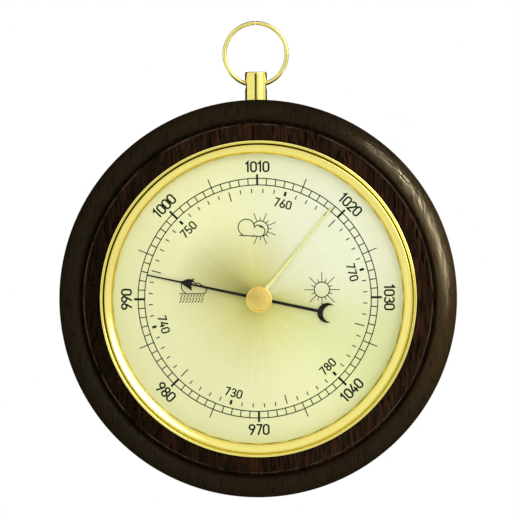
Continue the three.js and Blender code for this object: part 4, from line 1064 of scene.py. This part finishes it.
def add_clamp(bm, low, high):
    """A flat clamp with round corners that lies above the axis, before it is copied round."""
    inner, outer, half = low.x, high.x, (high.z - low.z) / 2
    corner, edge = 2.2 * MM, 0.12 * MM
    right, top, bottom = half - corner, outer - corner, inner + corner
    outline = []
    corners = ((right, top, 0), (-right, top, 90), (-right, bottom, 180), (right, bottom, 270))
    for x, z, start in corners:
        outline += arc(x, z, corner, corner, start, start + 90, 8)
    rows = []
    for depth, inset in bevelled(-high.y, -low.y, edge):
        rows.append([
            bm.verts.new((x - math.copysign(min(abs(x), inset), x), -depth,
                          z + (inset if z < (inner + outer) / 2 else -inset)))
            for x, z in outline
        ])
    skin(bm, rows, caps=True)


def add_screw(bm, middle, seat):
    """A slotted round head screw above the axis, with its point in the wood."""
    head, rise, shank = 2.0 * MM, 1.1 * MM, 0.95 * MM
    slot, slot_floor = 0.32 * MM, seat - rise + 0.5 * MM
    section = [(0, seat - rise), *arc(0, seat, head, rise, -90, 0, 8)[1:], (shank, seat),
               (shank, seat + 5.8 * MM), (0, seat + 7.2 * MM)]
    up = Vector((0, 0, middle))
    add_turned(bm, section, SCREW_SIDES, lambda *point: on_dial(*point) + up)
    for vert in bm.verts:
        if abs(vert.co.x) < slot * 1.01 and -vert.co.y < slot_floor:
            vert.co.y = -slot_floor


class BAROMETER_OT_brass(bpy.types.Operator):
    """Turn the bezel, bend the ring's wire and turn the stud that holds it"""

    bl_idname = "barometer.brass"
    bl_label = "Bezel and hanger"

    def execute(self, context):
        s = settings("brass")
        bezel = turned("bezel_ring", bezel_section(s), RIM_SIDES, 50)
        dress(bezel, "bezel", "housing", "polished_brass", "bezel")
        stud = piece_from("stud", lambda bm: add_stud(bm, s))
        hole = Matrix.Translation((0, -STUD_DEPTH, RING_LOW.z + 0.1 * MM + s.wire))
        across = Matrix.Rotation(math.pi / 2, 4, "Y")
        cut_with(stud, cylinder("drill", SCREW_SIDES, s.stud_hole, 4 * s.stud, hole @ across))
        dress(stud, "polished", "housing", "polished_brass", "hanger_stud")
        ring = piece_from("wire_ring", lambda bm: add_ring(bm, s))
        dress(ring, "polished", "ring", "polished_brass", "hanging_ring")
        return {"FINISHED"}


def bezel_section(s):
    """A rounded outer bead, a fine groove, and a band that falls in a soft curve to the glass."""
    bead_top, band_top = FLAT_DEPTH + 2.5 * MM, FLAT_DEPTH + 2.9 * MM
    lip_top = GLASS_FRONT + 0.45 * MM
    half_groove, soft, steps = 0.23 * MM, 0.4 * MM, 12
    bead, outer = (s.bezel - s.groove - half_groove) / 2, s.groove - half_groove
    section = [(s.bezel, FLAT_DEPTH + 0.05 * MM)]
    section += arc(s.bezel - bead, bead_top - bead, bead, bead, 0, 180, 12)[:-1]
    section += [(s.groove + half_groove * 0.7, bead_top - 0.5 * MM),
                (s.groove, bead_top - 0.75 * MM),
                (s.groove - half_groove * 0.7, bead_top - 0.5 * MM)]
    section += arc(outer - soft, band_top - soft, soft, soft, 0, 90, 5)
    for t in (i / steps for i in range(1, steps + 1)):
        radius = (outer - soft) * (1 - t) + s.lip * t
        bulge = 0.22 * MM * math.sin(math.pi * t)
        section.append((radius, band_top * (1 - t) + lip_top * t + bulge))
    skirt_inner, skirt_outer, skirt_end = 48.75 * MM, 49.15 * MM, GLASS_FRONT - 3 * MM
    return section + [
        (s.lip - 0.02 * MM, lip_top - 0.12 * MM), (s.lip, GLASS_FRONT), (skirt_inner, GLASS_FRONT),
        (skirt_inner, skirt_end), (skirt_outer, skirt_end), (skirt_outer, FLAT_DEPTH),
        (s.bezel - 0.05 * MM, FLAT_DEPTH),
    ]


def add_stud(bm, s):
    """The stud with its shank, turned about an upright axis."""
    seat, low, top = settings("frame").seat, STUD_LOW.z, STUD_HIGH.z
    shank, edge, foot = 2.0 * MM, 0.5 * MM, 0.15 * MM
    section = [(0, low), (shank / 2, low), (shank, low + 1.2 * MM), (shank, seat),
               (s.stud - foot, seat), (s.stud, seat + foot), (s.stud, seat + 2 * foot),
               (s.stud, top - edge - 0.1 * MM)]
    section += arc(s.stud - edge, top - edge, edge, edge, 0, 90, 6) + [(0, top)]
    add_turned(bm, section, STUD_SIDES, lambda radius, angle, height: (
        radius * math.cos(angle), radius * math.sin(angle) - STUD_DEPTH, height))


def add_ring(bm, s):
    """Round wire bent to a circle, its two ends butted at the top."""
    centre = Vector((0, -STUD_DEPTH, (RING_LOW.z + RING_HIGH.z) / 2))
    radius = (RING_HIGH.z - RING_LOW.z) / 2 - s.wire
    half_gap, bevel = 0.09 * MM / radius, 0.10 * MM / radius
    steps, sides, end_share = 160, 24, 0.86
    rows = []
    for i in range(-1, steps + 2):
        angle = half_gap + (2 * math.pi - 2 * half_gap) * min(max(i, 0), steps) / steps
        if i in (0, steps):
            angle += math.copysign(bevel, steps / 2 - i)
        wire = s.wire * (end_share if i in (-1, steps + 1) else 1.0)
        out = Vector((math.sin(angle), 0, math.cos(angle)))
        around = (2 * math.pi * k / sides for k in range(sides))
        rows.append([bm.verts.new(
            centre + out * (radius + wire * math.cos(b)) + Vector((0, wire * math.sin(b), 0))
        ) for b in around])
    skin(bm, rows, caps=True)


class BAROMETER_OT_dial(bpy.types.Operator):
    """Make the dial's plate and the glass over it"""

    bl_idname = "barometer.dial"
    bl_label = "Dial and glass"

    def execute(self, context):
        for name, bore, radius, depths, rounding, look, slot in (
            ("dial_plate", 2.2 * MM, settings("dial").radius, (DIAL_BACK, DIAL_FRONT), 0.08 * MM,
             "dial", "dial_plate"),
            ("glass_pane", 1.3 * MM, cad_radius("glass"), (GLASS_BACK, GLASS_FRONT), 0.1 * MM,
             "glass", "clear_glass"),
        ):
            plate = turned(name, washer(bore, radius, *depths, rounding), PLATE_SIDES)
            dress(plate, look, "housing", slot, look)
        return {"FINISHED"}


# Each digit is strokes of (points, closed) in a box one high, its middle at x = 0
DIGITS = {
    "0": [(arc(0, 0.722, 0.22, 0.22, 0, 180) + arc(0, 0.278, 0.22, 0.22, 180, 360), True)],
    "1": [([(-0.15, 0.75), (0.05, 0.955), (0.05, 0.0)], False)],
    "2": [(arc(0, 0.722, 0.215, 0.22, 175, -32) + [(-0.205, 0.057), (0.23, 0.057)], False)],
    "3": [(arc(0, 0.727, 0.19, 0.215, 165, -90) + arc(0, 0.284, 0.215, 0.228, 90, -165)[1:],
           False)],
    "4": [([(0.06, 1.0), (-0.22, 0.29), (0.26, 0.29)], False),
          ([(0.10, 0.56), (0.10, 0.0)], False)],
    "5": [([(0.20, 0.943), (-0.16, 0.943), (-0.185, 0.50)]
           + arc(0, 0.290, 0.215, 0.233, 118, -160), False)],
    "6": [(arc(0, 0.280, 0.218, 0.223, 0, 350, 26), True),
          ([(0.10, 1.0), (-0.09, 0.62), (-0.205, 0.33)], False)],
    "7": [([(-0.22, 0.943), (0.21, 0.943), (-0.08, 0.0)], False)],
    "8": [(arc(0, 0.735, 0.180, 0.208, 0, 350, 26), True),
          (arc(0, 0.286, 0.215, 0.228, 0, 350, 26), True)],
}
DIGITS["9"] = [([(-x, 1 - y) for x, y in points], closed) for points, closed in DIGITS["6"]]
DIGIT_PITCH = 0.66
INNER_PITCH = 0.71
ONE_PITCH = 0.50
DIGIT_SPREAD = 1.12


def add_number(bm, reading, height, stroke, radius, angle, ink, pitch):
    """A number that stands on the dial with its middle at a radius and an angle."""
    outward = Vector((math.sin(angle), math.cos(angle)))
    up = -outward if reading in READ_FROM_BELOW else outward
    right = Vector((up.y, -up.x))
    pitches = [ONE_PITCH if digit == "1" else pitch for digit in str(reading)]
    for i, digit in enumerate(str(reading)):
        shift = sum(pitches[:i]) + (pitches[i] - sum(pitches)) / 2

        def place(x, y, raised, shift=shift):
            p = (outward * radius + right * (x * DIGIT_SPREAD + shift) * height
                 + up * (y - 0.5) * height)
            return p.x, -(DIAL_FRONT + raised * ink), p.y

        for points, closed in DIGITS[digit]:
            add_stroke(bm, points, stroke / height, place, closed)


# These stand with their feet outward, so that they read upright at the bottom of the dial
READ_FROM_BELOW = (1040, 970, 980, 780, 730, 740)
INNER_START = math.radians(15.03)
SIXTH = math.radians(60)
EIGHTH = math.radians(45)


class BAROMETER_OT_printing(bpy.types.Operator):
    """Print the two scales, their numbers and the three weather signs"""

    bl_idname = "barometer.printing"
    bl_label = "Printing"

    def execute(self, context):
        d = settings("dial")
        ring, circle, rain = division_ring(), circle_line(), rain_rows()
        ink = {"Depth": DIAL_FRONT + d.ink_height / 2, "Thickness": d.ink_height,
               "Material": FINISHES["ink"]}
        unit = math.radians(d.degrees_per_unit)
        fine, bold, hair = d.line, 0.72 * MM, 0.25 * MM
        track, edge = d.track_inner / MM, d.track_outer / MM

        def bars(count, start, step, inner, outer, width, x=0.0, z=0.0):
            return grown(
                "bars", ring, Count=count, Start=start, Step=step, Inner=inner * MM,
                Outer=outer * MM, Width=width, Centre_X=x * MM, Centre_Z=z * MM, **ink)

        def round_line(radius, width, x=0.0, z=0.0):
            return grown("line", circle, Radius=radius, Width=width, Centre_X=x * MM,
                         Centre_Z=z * MM, **ink)

        def printed(name, *pieces):
            dress(joined(name, pieces), "ink", "housing", "black_paint")

        printed(
            "main_scale",
            round_line(d.track_inner, fine),
            round_line(d.track_outer, fine),
            bars(80, 0.0, unit, track, edge, fine),
            bars(8, 5 * unit, 10 * unit, track, 42.8, fine),
            bars(8, 0.0, 10 * unit, 37.6, 41.2, bold),
        )
        printed(
            "inner_scale",
            bars(60, INNER_START, SIXTH / 10, 35.0, 36.4, 0.34 * MM),
            bars(6, INNER_START + SIXTH / 2, SIXTH, 33.3, 36.5, 0.35 * MM),
            bars(6, INNER_START, SIXTH, 35.0, 36.5, 0.8 * MM),
        )
        numbers = piece_from("numbers", lambda bm: add_numbers(bm, d, unit))
        dress(numbers, "ink", "housing", "black_paint")
        veiled, clear = (0.9, 23.08), (21.25, 2.66)
        clouds = piece_from("clouds", lambda bm: add_clouds(bm, d.ink_height))
        clouds.data.materials.append(FINISHES["ink"])
        printed(
            "weather_signs",
            bars(6, -EIGHTH / 2, EIGHTH, 2.7, 5.55, hair, *veiled),
            bars(6, 0.0, EIGHTH, 2.7, 3.85, hair, *veiled),
            round_line(2.55 * MM, 0.33 * MM, *clear),
            bars(8, 0.0, EIGHTH, 2.65, 5.9, hair, *clear),
            bars(8, EIGHTH / 2, EIGHTH, 2.65, 3.75, hair, *clear),
            grown("rain", rain, Columns=8, Count=24, Column_Step=1.02 * MM, Row_Step=0.92 * MM,
                  Shift=-0.3 * MM, Left=-25.3 * MM, Top=0.95 * MM, Slant=math.radians(36),
                  Dash=0.95 * MM, Width=0.3 * MM, **ink),
            clouds,
        )
        return {"FINISHED"}


def add_numbers(bm, d, unit):
    """The main scale's numbers stand outside the track and the inner scale's inside it."""
    for reading in range(970, 1041, 10):
        add_number(bm, reading, 3.56 * MM, 0.55 * MM, 43.7 * MM, (reading - d.top_reading) * unit,
                   d.ink_height, DIGIT_PITCH)
    for i, reading in enumerate(range(730, 781, 10)):
        add_number(bm, reading, 2.9 * MM, 0.46 * MM, 32.5 * MM, INNER_START + SIXTH * (i - 3),
                   d.ink_height, INNER_PITCH)


def add_clouds(bm, ink):
    """The outlines of the cloud before the sun and of the rain cloud, in millimetres."""

    def place(x, z, raised):
        return x * MM, -(DIAL_FRONT + raised * ink), z * MM

    for points in (
        clockwise(0.9, 23.08, 2.63, -60, 160),
        clockwise(-3.72, 23.6, 2.72, 206, 455),
        [(-0.95, 23.55)] + soft_line([(-0.85, 23.95), (-0.1, 24.3), (0.9, 24.2), (1.9, 23.5),
                                      (2.4, 22.6), (2.3, 21.6), (1.7, 20.85), (0.8, 20.55)])
        + [(-6.1, 20.95)],
        soft_line([(0.35, 23.85), (1.1, 23.75), (1.6, 23.35)]),
        clockwise(-23.15, 4.1, 2.33, 205, 425),
        soft_line([(-21.9, 5.75), (-21.3, 5.6), (-20.8, 5.2), (-20.45, 4.66)]),
        soft_line([(-20.55, 4.95), (-20.1, 5.15), (-19.6, 5.15), (-18.9, 4.6), (-18.45, 3.9)]),
        soft_line([(-18.6, 4.4), (-17.7, 4.0), (-17.2, 3.2), (-17.25, 2.4), (-17.6, 1.9),
                   (-18.2, 1.65)]) + [(-26.1, 1.7)],
    ):
        add_stroke(bm, points, 0.33, place)


class BAROMETER_OT_hands(bpy.types.Operator):
    """Stamp the pressure hand and the set hand, and turn the knob"""

    bl_idname = "barometer.hands"
    bl_label = "Hands and knob"

    def execute(self, context):
        d = settings("dial")
        angle = math.radians((d.reading - d.top_reading) * d.degrees_per_unit)
        for name, build, crease, look, body, slot, node in (
            ("black_hand", lambda bm: add_pressure_hand(bm, angle), 40, "black", "hand_train",
             "black_paint", "pressure_hand"),
            ("brass_hand", lambda bm: add_set_hand(bm, d.set_angle), 25, "pale", "set_hand_train",
             "satin_brass", "set_hand"),
            ("knob", add_knob, CREASE, "knob", "set_hand_train", "satin_brass", "set_knob"),
        ):
            dress(piece_from(name, build, crease), look, body, slot, node)
        return {"FINISHED"}


def swung(x, depth, z, angle):
    """A point of a hand that points up, once the hand is turned to its angle."""
    across = x * math.cos(angle) + z * math.sin(angle)
    return across, -depth, z * math.cos(angle) - x * math.sin(angle)


def add_blade(bm, outline, back, front, angle, edge=0.05 * MM):
    """A flat hand from its outline as (across, along), turned to its angle, with soft edges."""
    rows = []
    for depth, inset in bevelled(back, front, edge):
        row = []
        for i, (x, z) in enumerate(outline):
            a, b = Vector(outline[i - 1]), Vector(outline[(i + 1) % len(outline)])
            way = (b - a).normalized()
            row.append(bm.verts.new(swung(x - way.y * inset, depth, z + way.x * inset, angle)))
        rows.append(row)
    skin(bm, rows, caps=True)


def add_pressure_hand(bm, angle):
    """An arrow on a needle one way, a bar with a crescent the other, and a hub with its bore."""
    back, top = cad_depths("pressure_hand")
    front = back + 0.45 * MM
    right = [(0.45, 1.6), (0.27, 22.6), (2.03, 22.1), (1.55, 23.1), (1.0, 24.4), (0.58, 25.4),
             (0.27, 26.3), (0.15, 37.5)]
    needle = [(-x, z) for x, z in right] + right[::-1]
    centre, outer, inner, shift, bar = -23.5, 3.3, 2.87, 1.4, 0.5

    def meeting(radius, sign):
        reach = outer ** 2 - inner ** 2 + sign * shift ** 2
        return math.degrees(math.acos(reach / (2 * shift * radius)))

    meet, meet_in = meeting(outer, 1), meeting(inner, -1)
    beside_bar = math.degrees(math.asin(bar / outer))
    tail = [(bar, -1.6), (-bar, -1.6)]
    tail += clockwise(0, centre, outer, -beside_bar, -180 + meet, 30)
    tail += clockwise(0, centre - shift, inner, -180 + meet_in, 180 - meet_in, 36)[1:-1]
    tail += clockwise(0, centre, outer, 180 - meet, beside_bar, 30)
    for outline in (needle, tail):
        add_blade(bm, [(x * MM, z * MM) for x, z in outline], back, front, angle)
    add_turned(bm, washer(0.72 * MM, 1.8 * MM, back, top, 0.15 * MM, 4), BORE_SIDES)


def add_set_hand(bm, angle):
    """A thin brass hand with a raised fold down its left side."""
    back, front = cad_depths("set_hand")
    seam = back + 0.1 * MM
    rows = []
    for along, wide in ((1.2, 0.8), (4.2, 0.74), (8.4, 0.68), (8.9, 0.56), (39.2, 0.26)):
        z, half = along * MM, wide * MM
        section = ((-half, seam), (-half, back), (half, back), (half, seam), (-half * 0.56, front))
        rows.append([bm.verts.new(swung(x, depth, z, angle)) for x, depth in section])
    skin(bm, rows, caps=True)
    add_turned(bm, washer(1.15 * MM, 2.6 * MM, back, front, 0.08 * MM), BORE_SIDES)


def add_knob(bm):
    """A neck that flares into a plain drum with a softened rim and a slightly domed end."""
    back, front = cad_depths("set_knob")
    r, bore, edge, crown, line = settings("brass").knob, 1.12 * MM, 0.3 * MM, 0.2 * MM, 0.15 * MM
    reach = r - edge - 0.15 * MM
    section = [(0, back + 5.6 * MM), (bore, back + 5.6 * MM), (bore, back), (2.4 * MM, back),
               (2.45 * MM, back + 0.9 * MM), (2.8 * MM, back + 1.5 * MM),
               (3.5 * MM, back + 2.4 * MM), (r - 0.35 * MM, back + 3.3 * MM),
               (r, back + 4.0 * MM), (r, front - 0.5 * MM)]
    section += arc(r - edge, front - 0.2 * MM - edge, edge, edge, 0, 90, 6)[1:]
    section.append((reach, front - crown))
    section += [(reach - 0.2 * MM + x, front - crown * 0.9 - cut)
                for x, cut in ((line, 0), (0, line), (-line, 0))]
    section += [(reach * (1 - t), front - crown + crown * (1 - (1 - t) ** 2))
                for t in (i / 10 for i in range(2, 11))]
    add_turned(bm, section, KNOB_SIDES)


LOOK_AT = Vector((-0.0002, -0.0173, 0.01366))
FLOOR_HEIGHT = -0.35
SENSOR = 36

# Cards by name: place, width, height
CARDS = {
    "front card": ((-0.12, -1.9, 0.06), 0.75, 0.4),
    "left card": ((-1.0, 0.95, 0.4), 1.3, 1.3),
    "top card": ((-0.1, 0.4, 1.1), 1.2, 1.2),
    "right card": ((1.0, 1.0, 0.0), 0.9, 1.0),
    "back card": ((0.0, 1.2, 0.05), 1.9, 1.9),
}


def facing(place, aim=(0, 0, 0)):
    """How to turn a lamp, a card or a camera at a place so that it looks at its aim."""
    return (Vector(aim) - Vector(place)).to_track_quat("-Z", "Y")


def soft_light(name, place, size, power, aim=(0, 0, 0)):
    lamp = bpy.data.lights.new(name, "AREA")
    lamp.shape, lamp.size, lamp.energy = "SQUARE", size, power
    holder = new_piece(name, lamp)
    holder.location, holder.rotation_euler = place, facing(place, aim).to_euler()
    holder.visible_camera = False
    return holder


def seen_first(lamp):
    """Makes a lamp shine only where it is mirrored straight to the eye."""
    lamp.use_nodes = True
    make = Nodes(lamp.node_tree)
    later = make.node("ShaderNodeLightPath").outputs["Diffuse Depth"]
    strength = make.minus(1.0, later, clamp=True)
    make.feed(lamp.node_tree.nodes["Emission"].inputs["Strength"], strength)


def add_camera(s):
    """The camera at the photograph's angle, far away behind a long lens."""
    level = math.cos(s.elevation)
    away = Vector((
        math.sin(s.azimuth) * level, -math.cos(s.azimuth) * level, math.sin(s.elevation)
    ))
    data = bpy.data.cameras.new("Camera")
    data.sensor_width = SENSOR
    data.lens = SENSOR * s.distance / s.view_width
    data.clip_start, data.clip_end = 0.05, 20
    camera = new_piece("Camera", data)
    camera.location = LOOK_AT + away * s.distance
    straight = (-away).to_track_quat("-Z", "Y")
    camera.rotation_euler = (straight @ Quaternion((0, 0, 1), s.roll)).to_euler()
    bpy.context.scene.camera = camera


def add_lights(s):
    """A broad front light, a key light that brass mirrors, and a small one for the wood alone."""
    front = soft_light("Front light", (0.1, -1.5, 0.15), 0.9, s.front_power)
    front.visible_glossy = front.visible_transmission = False
    key = soft_light("Key light", (0.80, -0.62, 0.50), 0.8, s.key_power)
    key.visible_diffuse = False
    seen_first(key.data)
    wood = soft_light(
        "Wood light", (0.11, -0.54, 0.05), 0.04, s.wood_power, (0.0565, -0.027, 0.0275)
    )
    wood.data.spread, wood.data.color = math.radians(4.0), (1.0, 0.84, 0.50)
    wood.visible_diffuse = False
    only = bpy.data.collections.new("Wood light's pieces")
    only.objects.link(bpy.data.objects["frame_wood"])
    wood.light_linking.receiver_collection = only


def dark_card(name, place, width, height, paper):
    """A card that only mirrors see, turned to the object."""
    card = new_piece(name, plain_mesh(name, lambda bm: bmesh.ops.create_grid(
        bm, x_segments=1, y_segments=1, size=0.5)))
    card.data.materials.append(paper)
    card.location, card.scale = place, (width, height, 1)
    card.rotation_euler = facing(place).to_euler()
    card.visible_camera = card.visible_diffuse = card.visible_shadow = False
    card.visible_transmission = False


def white_world(s):
    """White to the eye and in mirrors, and a weaker plain light on everything else."""
    world = bpy.data.worlds.new("World")
    world.use_nodes = True
    make = Shades(world.node_tree)
    plain = world.node_tree.nodes["Background"]
    make.feed(plain.inputs[0], (1, 1, 1))
    make.feed(plain.inputs[1], s.sky)
    white = make.out("ShaderNodeBackground", in_0=(1, 1, 1), in_1=1.0)
    path = make.node("ShaderNodeLightPath").outputs
    straight = make.plus(path["Is Camera Ray"], path["Is Glossy Ray"])
    seen = make.plus(straight, path["Is Transmission Ray"], clamp=True)
    make.show(seen, plain.outputs[0], white, "World Output")
    return world


class BAROMETER_OT_stage(bpy.types.Operator):
    """Set the camera, the soft lights, the floor and the white surroundings"""

    bl_idname = "barometer.stage"
    bl_label = "Stage"

    def execute(self, context):
        s = settings("stage")
        add_camera(s)
        add_lights(s)
        floor = new_piece("floor", plain_mesh("floor", lambda bm: bmesh.ops.create_circle(
            bm, cap_ends=True, segments=96, radius=1.6)))
        floor.location.z = FLOOR_HEIGHT
        floor.data.materials.append(floor_paper(s.floor))
        black = card_paper()
        for name, card in CARDS.items():
            dark_card(name, *card, black)
        context.scene.world = white_world(s)
        context.scene.view_settings.view_transform = "Standard"
        return {"FINISHED"}


# The stage comes last, because the wood's light is linked to the finished frame
OPERATORS = (
    BAROMETER_OT_finishes, BAROMETER_OT_movement, BAROMETER_OT_capsule_face,
    BAROMETER_OT_wood_frame, BAROMETER_OT_case, BAROMETER_OT_brass, BAROMETER_OT_dial,
    BAROMETER_OT_printing, BAROMETER_OT_hands, BAROMETER_OT_stage,
)


class BAROMETER_PT_panel(bpy.types.Panel):
    """Lists the barometer's pieces"""

    bl_label = "Barometer"
    bl_idname = "BAROMETER_PT_panel"
    bl_space_type = "VIEW_3D"
    bl_region_type = "UI"
    bl_category = "Barometer"

    def draw(self, context):
        for operator in OPERATORS:
            self.layout.operator(operator.bl_idname)
        for name in SETTINGS:
            box = self.layout.box()
            group = getattr(context.scene, name)
            for key in group.__annotations__:
                box.prop(group, key)


def register():
    for kind in (*SETTINGS.values(), *OPERATORS, BAROMETER_PT_panel):
        bpy.utils.register_class(kind)
    for name, kind in SETTINGS.items():
        setattr(bpy.types.Scene, name, bpy.props.PointerProperty(type=kind))


def unregister():
    for name in SETTINGS:
        delattr(bpy.types.Scene, name)
    for kind in reversed((*SETTINGS.values(), *OPERATORS, BAROMETER_PT_panel)):
        bpy.utils.unregister_class(kind)


def run(operator):
    """Calls one operator by its id."""
    area, name = operator.bl_idname.split(".")
    result = getattr(getattr(bpy.ops, area), name)()
    if result != {"FINISHED"}:
        raise RuntimeError(f"{operator.bl_idname} did not finish")


def main():
    register()
    for operator in OPERATORS:
        run(operator)


if __name__ == "__main__":
    main()
